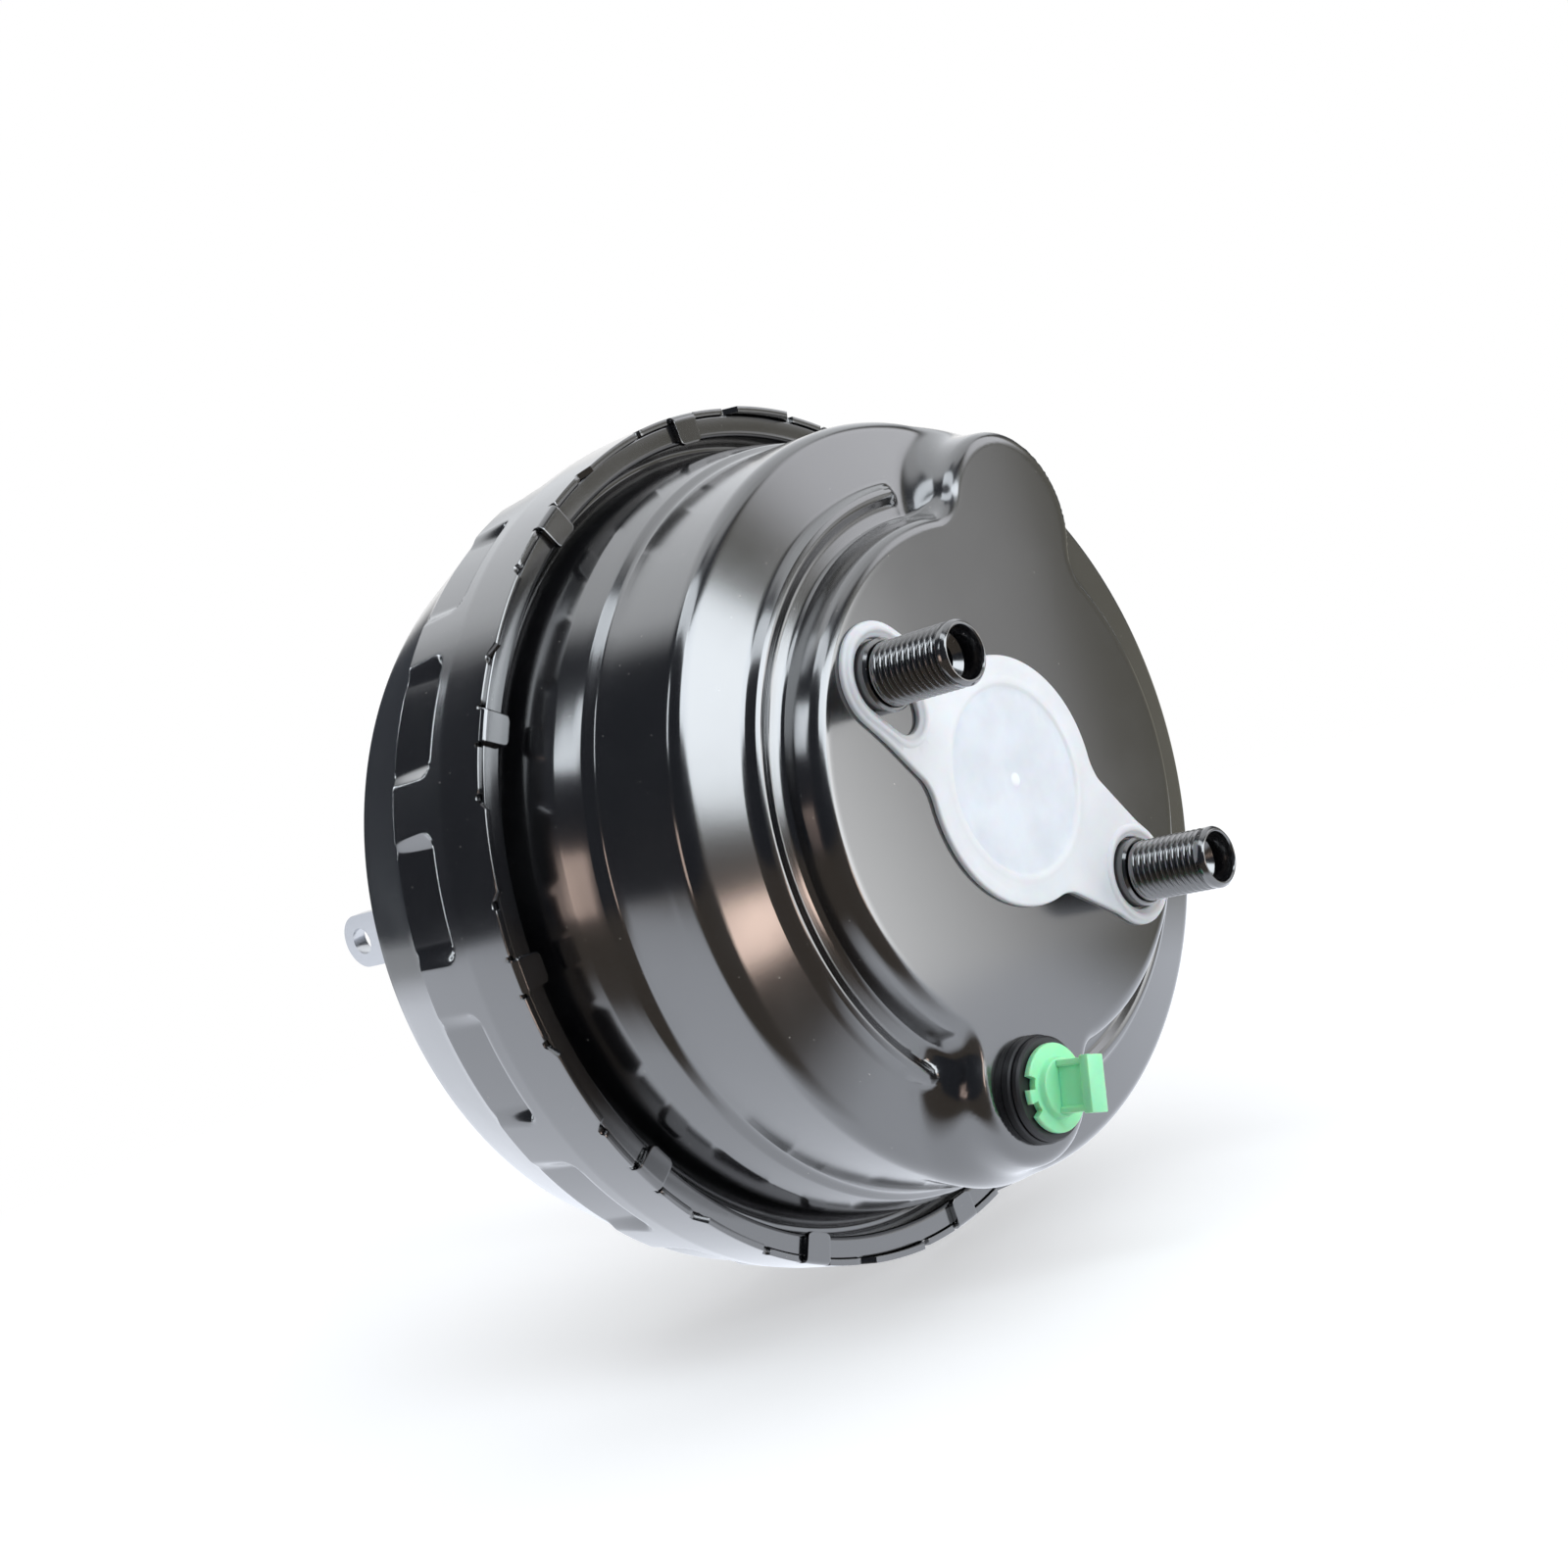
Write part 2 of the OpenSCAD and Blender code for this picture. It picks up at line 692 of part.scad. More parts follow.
// Rubber sheet with a clamped bead from stations x0 to x1; line is its rear side
module diaphragm(line, x0, x1) {
  inner = shifted(line, rubber_t);
  inner_r = inner[len(inner) - 1][0];
  color([0.1, 0.1, 0.1]) forward()
    difference() {
      spin(concat(line, [[stack_r, x0], [stack_r, x1], [inner_r, x1]],
        [for (i = [len(inner) - 1 : -1 : 0]) inner[i]]));
      at_tubes() rod(bush_flange_r + 1, 0, lip_x);
    }
}

module front_diaphragm() {
  x0 = stack_x + plate_t + fit_gap;
  diaphragm(rounded([
    [nose_r + 0.3, front_rubber_x, 0],
    [plate_r - 10.4, front_rubber_x, 3],
    [plate_r + 4, front_rubber_x + 10, 3],
    [plate_r + 8, x0 + 1.5, 3],
    [wall_r - 3, x0 + 1.5, 0.5],
    [wall_r - 2.5, x0, 0]]), x0, stack_front_x);
}

module rear_diaphragm() {
  diaphragm(rounded([
    [hub_r + 1.2, rear_rubber_x, 0],
    [seat_r + 4, rear_rubber_x, 3],
    [plate_r + 2, shell_floor(plate_r + 2) + 0.6, 3],
    [cone_r - 2.5, shell_floor(cone_r - 2.5) + 0.8, 3],
    [rear_corner_r - 2.4, rear_corner_x + 6, 3],
    [wall_r, shoulder_x + 7, 3],
    [wall_r, stack_back_x, 0]]), stack_back_x, stack_x - fit_gap);
}

// Cup that seats the return spring round the bore
module spring_seat() {
  x1 = inner_face_x - fit_gap;
  collar_r = spring_r - spring_wire / 2 - face_gap;
  line = [[spring_r + 4, x1 - plate_t], [collar_r, x1 - plate_t], [collar_r, x1 - 8]];
  color([0.6, 0.6, 0.58]) forward()
    spin(sheet(line, -plate_t));
}

module return_spring() {
  color([0.35, 0.36, 0.38]) forward()
    coil(spring_r, spring_wire, front_plate_x + plate_t + fit_gap,
      inner_face_x - plate_t - 2 * fit_gap, spring_turns);
}

module vacuum_grommet() {
  x0 = inner_face_x - 3;
  neck = port_hole_r - fit_gap;
  lip = grommet_out / 2;
  color([0.08, 0.08, 0.09]) forward()
    at_clock(port_at, port_clock)
      spin([[grommet_bore_r, x0], [neck + 0.6, x0], [neck + 1.8, inner_face_x - 1],
        [neck + 1.8, inner_face_x - fit_gap], [neck, inner_face_x - fit_gap], [neck, face_x + fit_gap],
        [grommet_r, face_x + fit_gap], [grommet_r, face_x + lip - 0.5], [grommet_r - 0.5, face_x + lip],
        [grommet_r - 1.8, face_x + lip], [grommet_r - 1.8, face_x + lip + 0.7],
        [grommet_r - 0.6, face_x + lip + 0.7], [grommet_r - 0.6, grommet_x - 0.6],
        [grommet_r - 1.2, grommet_x], [grommet_bore_r, grommet_x]]);
}

// Rubber boot between the neck and the input rod
module boot() {
  pitch = fold_len / fold_count;
  valley = fold_r - fold_depth;
  folds = [
    for (i = [0 : fold_count - 1])
      each [[valley, boot_x - i * pitch], [fold_r, boot_x - (i + 0.5) * pitch]]];
  line = concat(
    [[neck_r + fit_gap + boot_t, neck_end_x + 13], [neck_r + fit_gap + boot_t, neck_end_x - face_gap]], folds,
    [[valley, boot_end_x], [rod_r + face_gap + boot_t, mouth_x],
     [rod_r + face_gap + boot_t, mouth_x - mouth_len]]);
  color([0.1, 0.1, 0.1]) forward()
    spin(sheet(line, -boot_t));
}

// Moulded housing of the control valve: tail, flange, hub and nose
module control_housing() {
  color([0.2, 0.2, 0.22]) forward()
    difference() {
      spin([
        [0, tail_x], [tail_r - 1, tail_x], [tail_r, tail_x + 1.5], [tail_r, rear_flange_x],
        [rear_flange_r, rear_flange_x], [rear_flange_r, rear_flange_x + rear_flange_w],
        [hub_r, rear_flange_x + rear_flange_w], [hub_r, hub_end_x], [nose_r, hub_end_x],
        [nose_r, nose_x - 1], [nose_r - 1, nose_x], [0, nose_x]]);
      difference() {
        spin([
          [0, tail_x - 1], [inlet_r, tail_x - 1], [inlet_r, chamber_x], [chamber_r, chamber_x],
          [chamber_r, valve_x], [head_r + 1, valve_x], [head_r + 1, valve_x + head_room],
          [plunger_r + run_gap, valve_x + head_room], [plunger_r + run_gap, reaction_x],
          [reaction_r, reaction_x], [reaction_r, nose_x + 1], [0, nose_x + 1]]);
        ring(head_r + 1.6, head_r + 2.6, valve_x - seat_lip, valve_x + 1);
      }
      vacuum_passages();
      key_window();
    }
}

// Passages from the vacuum seat to the chambers ahead of both plates
module vacuum_passages() {
  floor_r = head_r + 3.1;
  for (clock = [30, 150, 270]) {
    sector(floor_r, chamber_r + 1.2, valve_x - 1, vent_x + vent_w / 2, 40, clock);
    sector(floor_r + 0.5, hub_r + 1, vent_x, vent_x + vent_w, 24, clock);
    at_clock(reaction_r + 3, clock) rod(1.5, vent_x + 1, nose_x + 1);
  }
}

// Window across the tail for the stop key
module key_window() {
  play = 0.2;
  translate([0, 0, key_x + (key_t + plunger_travel) / 2])
    cube([key_w + 2 * play, 2 * tail_r + 1, key_t + plunger_travel + 2 * play], center = true);
}

// Pressed plate of the front chamber
module front_plate() {
  line = rounded([
    [nose_r + fit_gap, front_plate_x, 0],
    [plate_r - 11, front_plate_x, 4],
    [plate_r - 1, front_plate_x + 9, 3],
    [plate_r, front_plate_x + 13, 0]]);
  color([0.55, 0.56, 0.58]) forward()
    difference() {
      spin(sheet(line, plate_t));
      at_tubes() rod(bush_r + fit_gap, front_plate_x - 1, front_plate_x + plate_t + 1);
    }
}

// Pressed plate of the rear chamber
module rear_plate() {
  rim_x = shell_floor(plate_r) + rubber_t + 1.2;
  line = rounded([
    [hub_r + fit_gap, rear_plate_x, 0],
    [seat_r + 3, rear_plate_x, 4],
    [plate_r - 0.5, rim_x, 2.5],
    [plate_r, rim_x + 4, 0]]);
  color([0.55, 0.56, 0.58]) forward()
    difference() {
      spin(sheet(line, plate_t));
      at_tubes() rod(bush_r + fit_gap, rear_plate_x - 1, rear_plate_x + plate_t + 1);
    }
}

module plate_lock_ring() {
  color([0.5, 0.5, 0.52]) forward()
    difference() {
      ring(nose_r + fit_gap, hub_r, lock_ring_x, lock_ring_x + lock_ring_w);
      for (i = [0 : 7])
        rotate([0, 0, i * 45]) translate([nose_r, 0, lock_ring_x + lock_ring_w])
          cube([3, 3, 2.4], center = true);
    }
}

module rear_plate_ring() {
  color([0.5, 0.5, 0.52]) forward()
    ring(hub_r + fit_gap, hub_r + 4, rear_ring_x, rear_ring_x + rear_ring_w);
}

// Bushes in the holes of a plate at station x, with their flange ahead of it
module slide_bushes(x) {
  x0 = x - 1;
  x1 = x + plate_t + fit_gap;
  color([0.85, 0.83, 0.75]) forward()
    at_tubes()
      spin([[tube_r + run_gap, x0], [bush_r, x0], [bush_r, x1], [bush_flange_r, x1],
        [bush_flange_r, x1 + 2], [tube_r + run_gap, x1 + 2]]);
}

module front_slide_bushes() {
  slide_bushes(front_plate_x);
}

module rear_slide_bushes() {
  slide_bushes(rear_plate_x);
}

module reaction_disc() {
  color([0.12, 0.12, 0.12]) forward()
    rod(reaction_r - fit_gap, reaction_x + fit_gap, base_x - fit_gap);
}

// Rod that pushes the master cylinder's piston
module output_rod() {
  step_x = base_x + base_t;
  color([0.7, 0.7, 0.72]) forward()
    spin([
      [0, base_x], [reaction_r - fit_gap, base_x], [reaction_r - fit_gap, step_x], [out_rod_r + 1.5, step_x],
      [out_rod_r, step_x + 2.5], [out_rod_r, out_tip_x - 9], [out_rod_r - 2, out_tip_x - 7],
      [out_rod_r - 2, out_tip_x - 2.4], [out_rod_r - 3, out_tip_x - 0.7], [out_rod_r - 5, out_tip_x],
      [0, out_tip_x]]);
}

module output_rod_retainer() {
  x0 = base_x + base_t + fit_gap;
  color([0.6, 0.6, 0.58]) forward()
    difference() {
      ring(out_rod_r + 2, reaction_r - fit_gap, x0, x0 + 1.2);
      for (i = [0 : 5])
        rotate([0, 0, i * 60]) translate([reaction_r, 0, x0]) cube([4, 3, 4], center = true);
    }
}

// Forked key that limits the plunger's travel
module stop_key() {
  fork = groove_core_r + face_gap;
  color([0.6, 0.6, 0.62]) forward()
    difference() {
      translate([-key_w / 2, -key_len / 2, key_x]) cube([key_w, key_len, key_t]);
      rod(fork, key_x - 1, key_x + key_t + 1);
      translate([-fork, -key_len / 2 - 1, key_x - 1]) cube([2 * fork, key_len / 2 + 1, key_t + 2]);
    }
}

// Rubber valve that closes on the vacuum seat and on the plunger's head
module poppet_valve() {
  bore = head_r - 1.6;
  back = poppet_x - poppet_t;
  color([0.1, 0.1, 0.1]) forward()
    spin([
      [bore, poppet_x], [chamber_r - 0.5, poppet_x], [chamber_r - 0.5, back], [bore + 3.4, back],
      [bore + 3.4, bead_x], [inlet_r - fit_gap, bead_x], [inlet_r - fit_gap, bead_x - bead_t],
      [bore + 1.8, bead_x - bead_t], [bore + 1.8, back], [bore, back]]);
}

module poppet_spring() {
  color([0.7, 0.7, 0.7]) forward()
    coil(chamber_r - 1, 0.9, bead_x + fit_gap, poppet_x - poppet_t - fit_gap, 3, 16, 6);
}

// Cup that holds the poppet's bead and seats the rod's return spring
module poppet_retainer() {
  back = retainer_x - retainer_len;
  outer = inlet_r - fit_gap;
  color([0.6, 0.6, 0.58]) forward()
    spin([
      [inlet_r - 6.4, retainer_x], [outer, retainer_x], [outer, back], [outer - retainer_t, back],
      [outer - retainer_t, retainer_x - retainer_t], [inlet_r - 6.4, retainer_x - retainer_t]]);
}

// Foam ring that filters the air let in at the tail
module air_filter() {
  color([0.3, 0.3, 0.28]) forward()
    ring(rod_r + 3.4, inlet_r - face_gap, tail_x + 1.5, tail_x + 8.5);
}

module rod_return_spring() {
  color([0.7, 0.7, 0.7]) forward()
    coil(inlet_r - 4.4, 1.8, rod_ring_x + washer_t + fit_gap, retainer_x - retainer_t - fit_gap, 5, 18, 6);
}

// Plunger with the air valve's head, the socket of the rod and the groove of the key
module valve_plunger() {
  tip = reaction_x - plunger_travel - face_gap;
  back = valve_x - seat_lip + face_gap;
  color([0.62, 0.62, 0.64]) forward()
    difference() {
      spin([
        [0, back], [head_r, back], [head_r, ball_x], [plunger_r, ball_x],
        [plunger_r, key_x - plunger_travel - face_gap], [groove_core_r, key_x - plunger_travel - face_gap],
        [groove_core_r, key_x + key_t + face_gap], [plunger_r, key_x + key_t + face_gap],
        [plunger_r, 14], [plunger_r - 1, 16], [plunger_r - 1, tip - 14], [plunger_r, tip - 12],
        [plunger_r, tip - 1], [plunger_r - 1, tip], [0, tip]]);
      translate([0, 0, ball_x]) sphere(r = ball_r + run_gap);
      rod(ball_r - 0.6, back - 1, ball_x - 1);
    }
}

// Rod from the pedal, with the ball at its front end
module input_rod() {
  neck = rod_r - 1.6;
  neck_x = ball_x - 1 - rod_neck_len;
  color([0.72, 0.72, 0.74]) forward()
    union() {
      translate([0, 0, ball_x]) sphere(r = ball_r);
      spin([
        [0, ball_x], [neck, ball_x - 1], [neck, neck_x], [rod_r, neck_x - 3], [rod_r, rod_ring_x],
        [ring_r, rod_ring_x], [ring_r, rod_ring_x - 3], [rod_r, rod_ring_x - 3],
        [rod_r, clevis_front_x - 6], [0, clevis_front_x - 6]]);
    }
}

module rod_spring_seat() {
  color([0.6, 0.6, 0.62]) forward()
    ring(rod_r + fit_gap, inlet_r - 2.8, rod_ring_x, rod_ring_x + washer_t);
}

module lock_nut() {
  color([0.72, 0.72, 0.74]) forward()
    difference() {
      translate([0, 0, clevis_front_x + fit_gap]) cylinder(r = rod_r * 1.85, h = nut_w, $fn = 6);
      rod(rod_r + fit_gap, clevis_front_x - 1, clevis_front_x + nut_w + 1);
    }
}

// Fork that takes the pedal pin
module clevis() {
  half = clevis_h / 2;
  crotch_x = pin_x + pin_r + 5;
  color([0.78, 0.78, 0.8]) forward()
    difference() {
      union() {
        translate([-clevis_w / 2, 0, pin_x]) rotate([0, 90, 0]) cylinder(r = half, h = clevis_w);
        translate([-clevis_w / 2, -half, pin_x]) cube([clevis_w, clevis_h, pin_r + 8]);
        rod(rod_r + 3.5, pin_x, clevis_front_x);
      }
      translate([-clevis_slot / 2, -half - 1, clevis_back_x - 1])
        cube([clevis_slot, clevis_h + 2, crotch_x - clevis_back_x + 1]);
      translate([-clevis_w / 2 - 1, 0, pin_x]) rotate([0, 90, 0]) cylinder(r = pin_r, h = clevis_w + 2);
      rod(rod_r + fit_gap, crotch_x - 1, clevis_front_x + 1);
    }
}

// Flat bar with a round end of radius r1 at p1 and one of radius r2 at p2
module taper_bar(p1, r1, p2, r2) {
  sink = 0.05;
  step = p2 - p1;
  run = atan2(step[1], step[0]);
  lean = acos((r1 - r2) / norm(step));
  up = [cos(run + lean), sin(run + lean)];
  down = [cos(run - lean), sin(run - lean)];
  translate(p1) circle(r = r1);
  translate(p2) circle(r = r2);
  polygon([
    p1 + (r1 - sink) * down, p2 + (r2 - sink) * down,
    p2 + (r2 - sink) * up, p1 + (r1 - sink) * up]);
}

// Eye of the cover round a tube, drawn out to one side and grown by grow
module eye(clock, grow) {
  at = tube_at * [cos(clock), sin(clock)];
  taper_bar(at, eye_hole_r + grow, at + eye_slide * [cos(eye_clock), sin(eye_clock)], eye_end_r + grow);
}

// Plastic cover over the bore, held by its eyes on both studs
module bore_cover() {
  middle_x = cover_x + cover_t / 2;
  color([0.88, 0.9, 0.94]) forward()
    difference() {
      union() {
        translate([0, 0, cover_x]) linear_extrude(cover_t)
          union() {
            circle(r = disc_r);
            for (clock = tube_clocks) {
              eye(clock, eye_rim);
              taper_bar(bar_start * [cos(clock), sin(clock)], bar_r,
                tube_at * [cos(clock), sin(clock)], eye_hole_r + eye_rim - 0.8);
            }
          }
        for (clock = tube_clocks)
          translate([0, 0, middle_x]) linear_extrude(cover_x + rim_h - middle_x)
            difference() {
              eye(clock, eye_rim - 0.6);
              eye(clock, eye_rim - 3);
            }
        ring(bore_r + 1, bore_r + 2.4, middle_x, cover_x + cover_t + 0.6);
        rod(1.2, middle_x, cover_x + cover_t + 0.5);
      }
      for (clock = tube_clocks)
        translate([0, 0, cover_x - 1]) linear_extrude(rim_h + 2) eye(clock, 0);
    }
}

// Transport plug of the vacuum port, with its pull tab
module vacuum_plug() {
  stem_r = grommet_bore_r - run_gap;
  front = plug_x + plug_flange_t;
  color([0.3, 0.85, 0.45]) forward()
    at_clock(port_at, port_clock) rotate([0, 0, -port_clock])
      difference() {
        union() {
          rod(stem_r, inner_face_x - 4, plug_x + 0.5);
          rod(flange_r, plug_x, front);
          translate([-pull_t / 2, -pull_h / 2, front - 0.5]) cube([pull_t, pull_h, pull_len + 0.5]);
          translate([-pull_t / 2 - 0.6, -pull_h / 2 - 0.6, front + pull_len - 3])
            cube([pull_t + 1.2, pull_h + 1.2, 3]);
        }
        rod(stem_r - 1.8, inner_face_x - 5, plug_x - 1);
        for (side = [-1, 1])
          translate([side * (pull_t / 2 + 0.2), 0, front + pull_len / 2 - 1])
            cube([1.6, pull_h - 4, pull_len - 6], center = true);
        for (y = [-3.4, 3.4])
          translate([-flange_r, y, plug_x]) cube([5, 3.4, 6], center = true);
      }
}

front_shell();
rear_shell();
neck_sleeve();
centre_plate();
centre_seal();
rear_seal();
rear_guide_ring();
through_tubes();
tube_collars();
tube_front_seals();
tube_centre_seals();
front_diaphragm();
rear_diaphragm();
spring_seat();
return_spring();
vacuum_grommet();
boot();
control_housing();
front_plate();
rear_plate();
plate_lock_ring();
rear_plate_ring();
front_slide_bushes();
rear_slide_bushes();
reaction_disc();
output_rod();
output_rod_retainer();
stop_key();
poppet_valve();
poppet_spring();
poppet_retainer();
air_filter();
rod_return_spring();
valve_plunger();
input_rod();
rod_spring_seat();
lock_nut();
clevis();
bore_cover();
vacuum_plug();
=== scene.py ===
import json
import math

import bmesh
import bpy
import numpy as np
from mathutils import Matrix, Vector
from mathutils.geometry import delaunay_2d_cdt


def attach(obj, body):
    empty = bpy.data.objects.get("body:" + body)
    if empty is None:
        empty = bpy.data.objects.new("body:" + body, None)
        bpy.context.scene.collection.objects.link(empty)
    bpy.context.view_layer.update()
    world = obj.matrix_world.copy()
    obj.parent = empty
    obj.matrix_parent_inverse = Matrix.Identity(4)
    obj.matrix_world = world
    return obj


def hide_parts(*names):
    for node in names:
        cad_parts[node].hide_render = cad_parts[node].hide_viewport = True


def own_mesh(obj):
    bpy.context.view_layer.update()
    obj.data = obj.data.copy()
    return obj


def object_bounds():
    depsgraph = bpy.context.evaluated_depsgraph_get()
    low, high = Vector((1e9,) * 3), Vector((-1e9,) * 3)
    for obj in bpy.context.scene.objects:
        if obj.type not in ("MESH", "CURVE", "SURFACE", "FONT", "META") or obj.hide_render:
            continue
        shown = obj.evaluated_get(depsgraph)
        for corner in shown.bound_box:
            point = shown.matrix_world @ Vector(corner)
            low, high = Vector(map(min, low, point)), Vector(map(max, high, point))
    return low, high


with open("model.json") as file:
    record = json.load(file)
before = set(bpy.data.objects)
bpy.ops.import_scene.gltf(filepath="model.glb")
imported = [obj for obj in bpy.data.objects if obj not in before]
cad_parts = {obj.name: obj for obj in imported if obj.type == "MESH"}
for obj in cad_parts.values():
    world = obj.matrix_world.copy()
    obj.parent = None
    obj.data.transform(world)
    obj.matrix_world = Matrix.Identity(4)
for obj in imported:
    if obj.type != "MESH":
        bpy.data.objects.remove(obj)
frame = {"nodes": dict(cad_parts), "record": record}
cad_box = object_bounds()


# Sizes

# Shapes are drawn in millimetres, with x along the main axis. A clock angle is in degrees about that
# axis, from y towards z. An outline's points are (radius, station along x, radius of the corner).

MM = 0.001
SHEET = 1.8
SHARP_ANGLE = 35.0
TUBE_CLOCKS, TUBE_AT = (135.0, 315.0), 57.5
PORT_CLOCK, PORT_AT = -112.0, 86.7

# Front shell: outline from the rim to the bore, and that of its drum drawn on past the face
RIM_X, FACE_X = 92.2, 166.5
SIDE, SHOULDER, CREASE = (110.9, 136.0, 0), (110.6, 148.0, 5.0), (79.6, 155.0, 2.0)
RIM_LINE = ((129.0, RIM_X - 0.8, 0), (129.0, RIM_X, 0.6), (122.6, RIM_X, 1.6), (121.8, 84.0, 1.0),
            (119.4, 84.0, 1.0), (115.9, 105.7, 8.0), (113.5, 114.7, 2.4), (111.4, 116.9, 3.0), SIDE)
FRONT_LINE = (SIDE, SHOULDER, CREASE, (77.0, FACE_X, 3.2), (26.0, FACE_X, 0))
DRUM_LINE = ((112.0, 100.0, 0), (111.4, 116.9, 0), SHOULDER, CREASE, (76.1, 170.5, 0), (0.0, 170.5, 0))
PORT_HOLE_R, TUBE_HOLE_R = 12.6, 9.15
FACE_EDGE = 3.2

# Lobes of the front shell: (clock angle, distance from the axis, radius), and their leaning wall
LOBES = ((60.5, 79.5, 27.0), (-112.0, 83.0, 24.0))
LOBE_FOOT_X, LOBE_SPREAD, LOBE_LEAN, LOBE_RISE, LEAN_COSINE = 145.0, 3.4, 3.0, 18.5, 0.987
LOBE_BACK_X, LOBE_BACK_BLEND, LOBE_FILLET = 147.0, 4.0, 7.0

# Bead round the front shell's face: start and end of its arcs, ring, radius of the bead and its blend
BEAD_ARCS = ((88.0, 228.0), (-92.0, 34.0))
BEAD_AT, BEAD_X, BEAD_R, BEAD_BLEND = 87.5, 153.2, 2.6, 1.2

# Rear shell: its outline, and its lip with tabs, a slit beside each tab and a notch beyond the slit
LIP_R, ROOT_X = 131.0, 91.2
REAR_LINE = ((26.1, 0.0, 0), (70.0, 0.0, 3.0), (75.0, 4.0, 4.0), (115.0, 17.0, 2.5),
             (118.0, 21.0, 2.5), (127.6, 49.9, 0.9), (129.1, 51.2, 0.9), (LIP_R, 76.0, 0))
LIP_ROWS, LIP_SHARES = (77.5, 79.5, 82.0, 85.0, 88.0, 90.0, ROOT_X), (0.35, 0.7, 1.0)
REAR_HOLE_R, REAR_HOLE_REACH = 8.7, 9.0
TABS, TAB_CLOCK, TAB_HALF, SLIT_HALF, TAB_COLUMNS = 12, 1.3, 2.05, 2.6, (0.9, 1.4, 1.8)
TAB_TIP_R, TAB_X, TAB_BEND, TAB_CORNER, TAB_MIDDLE_R = 121.9, 94.1, 1.6, 1.5, 127.0
LONG_X, SHORT_X, NOTCH_X = 95.0, 92.7, 91.4
LIP_STEPS, LIP_EDGE = (8.1, 8.3, 8.9, 10.2), (SHORT_X, NOTCH_X, NOTCH_X, LONG_X)

# Pockets in the rear shell's side: half their angle, corner radius, front end and the floor's line
POCKETS, POCKET_CLOCK, POCKET_HALF, POCKET_CORNER = 16, 12.5, 8.4, 6.0
POCKET_BACK_X, POCKET_X, POCKET_EDGE, POCKET_AT = 50.5, 70.2, 1.8, 129.0
POCKET_FLOOR_X, POCKET_FLOOR_R = (48.0, 72.0), (127.9, 127.3)

# Through tubes, with two flanges, a thread in front and a counterbore for the screw's head
TUBE_TIP_X, THREAD_X, THREAD_PITCH, THREAD_DEPTH, THREAD_R = 197.5, 171.3, 2.0, 0.95, 9.0
THREAD_ROWS, TUBE_COLUMNS = 18, 90
END_R, FLANGE_R, PIPE_R, SCREW_HOLE_R = 8.6, 11.5, 7.0, 4.6
REAR_FLANGE_X, FRONT_FLANGE_X, FLANGE_T = 1.8, 161.7, 3.0
COUNTERBORE_R, COUNTERBORE_X, SCREW_HOLE_X = 7.2, 190.5, 189.0

# Transport cover: a disc with a recess and a ridge, and an eye on a tapering arm round each stud
COVER_X, COVER_T, COVER_EDGE = 166.6, 1.6, 0.8
DISC_R, RECESS_R, RIDGE_R, GATE_R = 36.0, 27.0, 30.2, 2.2
RECESS_DEPTH, RIDGE_HEIGHT, GATE_HEIGHT, EYE_HEIGHT = 0.5, 0.3, 0.4, 0.9
ARM_START, ARM_R, ARM_INSET, ARM_FILLET = 20.0, 21.0, 0.8, 3.0
LONG_EYE, ROUND_EYE = 0, 1
EYE_R, EYE_RIM, EYE_SLIDE, EYE_CLOCK, EYE_END_R, EYE_BLEND = 10.8, 4.6, 12.0, -71.0, 6.0, 1.0

# Plug of the vacuum port, with two notches in its flange
PLUG_X, PLUG_R, PLUG_T, STEM_R, STEM_HOLE_R, STEM_X = 172.0, 12.25, 2.0, 8.9, 7.1, 160.7
NOTCHES, NOTCH_HALF, NOTCH_DEPTH, NOTCH_CELL = (152.7, 189.3), 9.2, 2.5, 4.5
BOSS_R, BOSS_T = 8.4, 2.2
PULL_LENGTH, PULL_HEIGHT, PULL_WIDTH, PULL_TURN = 13.0, 14.4, 5.6, -20.0
PULL_RECESS, PULL_END_T, PULL_END_LIP = 0.9, 3.0, 1.2


# Camera, in metres

LENS_MM, SENSOR_MM = 51.742, 36.0
CAMERA_PLACE = Vector((0.558918, -0.498274, 0.064973))
CAMERA_RIGHT = Vector((0.700035, 0.638359, -0.320077))
CAMERA_UP = Vector((0.184920, 0.270884, 0.944683))
CAMERA_BACK = Vector((0.689751, -0.720500, 0.071583))


def add_camera():
    data = bpy.data.cameras.new("camera")
    data.lens = LENS_MM
    data.sensor_width = SENSOR_MM
    camera = bpy.data.objects.new("camera", data)
    bpy.context.scene.collection.objects.link(camera)
    turn = Matrix((CAMERA_RIGHT, CAMERA_UP, CAMERA_BACK)).transposed().to_4x4()
    camera.matrix_world = Matrix.Translation(CAMERA_PLACE) @ turn
    bpy.context.scene.camera = camera


# Materials, with their lengths in metres

# Sockets of the colour mix node
MIX_SHARE, MIX_FIRST, MIX_SECOND, MIX_RESULT = 0, 6, 7, 2


def node(tree, kind, inputs=(), **settings):
    """New node; inputs gives a value or another node's socket for each of its sockets."""
    made = tree.nodes.new(kind)
    for key, value in settings.items():
        setattr(made, key, value)
    for key, value in dict(inputs).items():
        if isinstance(value, bpy.types.NodeSocket):
            tree.links.new(value, made.inputs[key])
        else:
            made.inputs[key].default_value = value
    return made


def noise(tree, scale, detail=3.0, roughness=0.5):
    place = tree.nodes["place"].outputs["Object"]
    values = {"Vector": place, "Scale": scale, "Detail": detail, "Roughness": roughness}
    return node(tree, "ShaderNodeTexNoise", values).outputs["Fac"]


def ramp(tree, value, low, high, to_low=0.0, to_high=1.0):
    values = {"Value": value, "From Min": low, "From Max": high, "To Min": to_low, "To Max": to_high}
    return node(tree, "ShaderNodeMapRange", values).outputs["Result"]


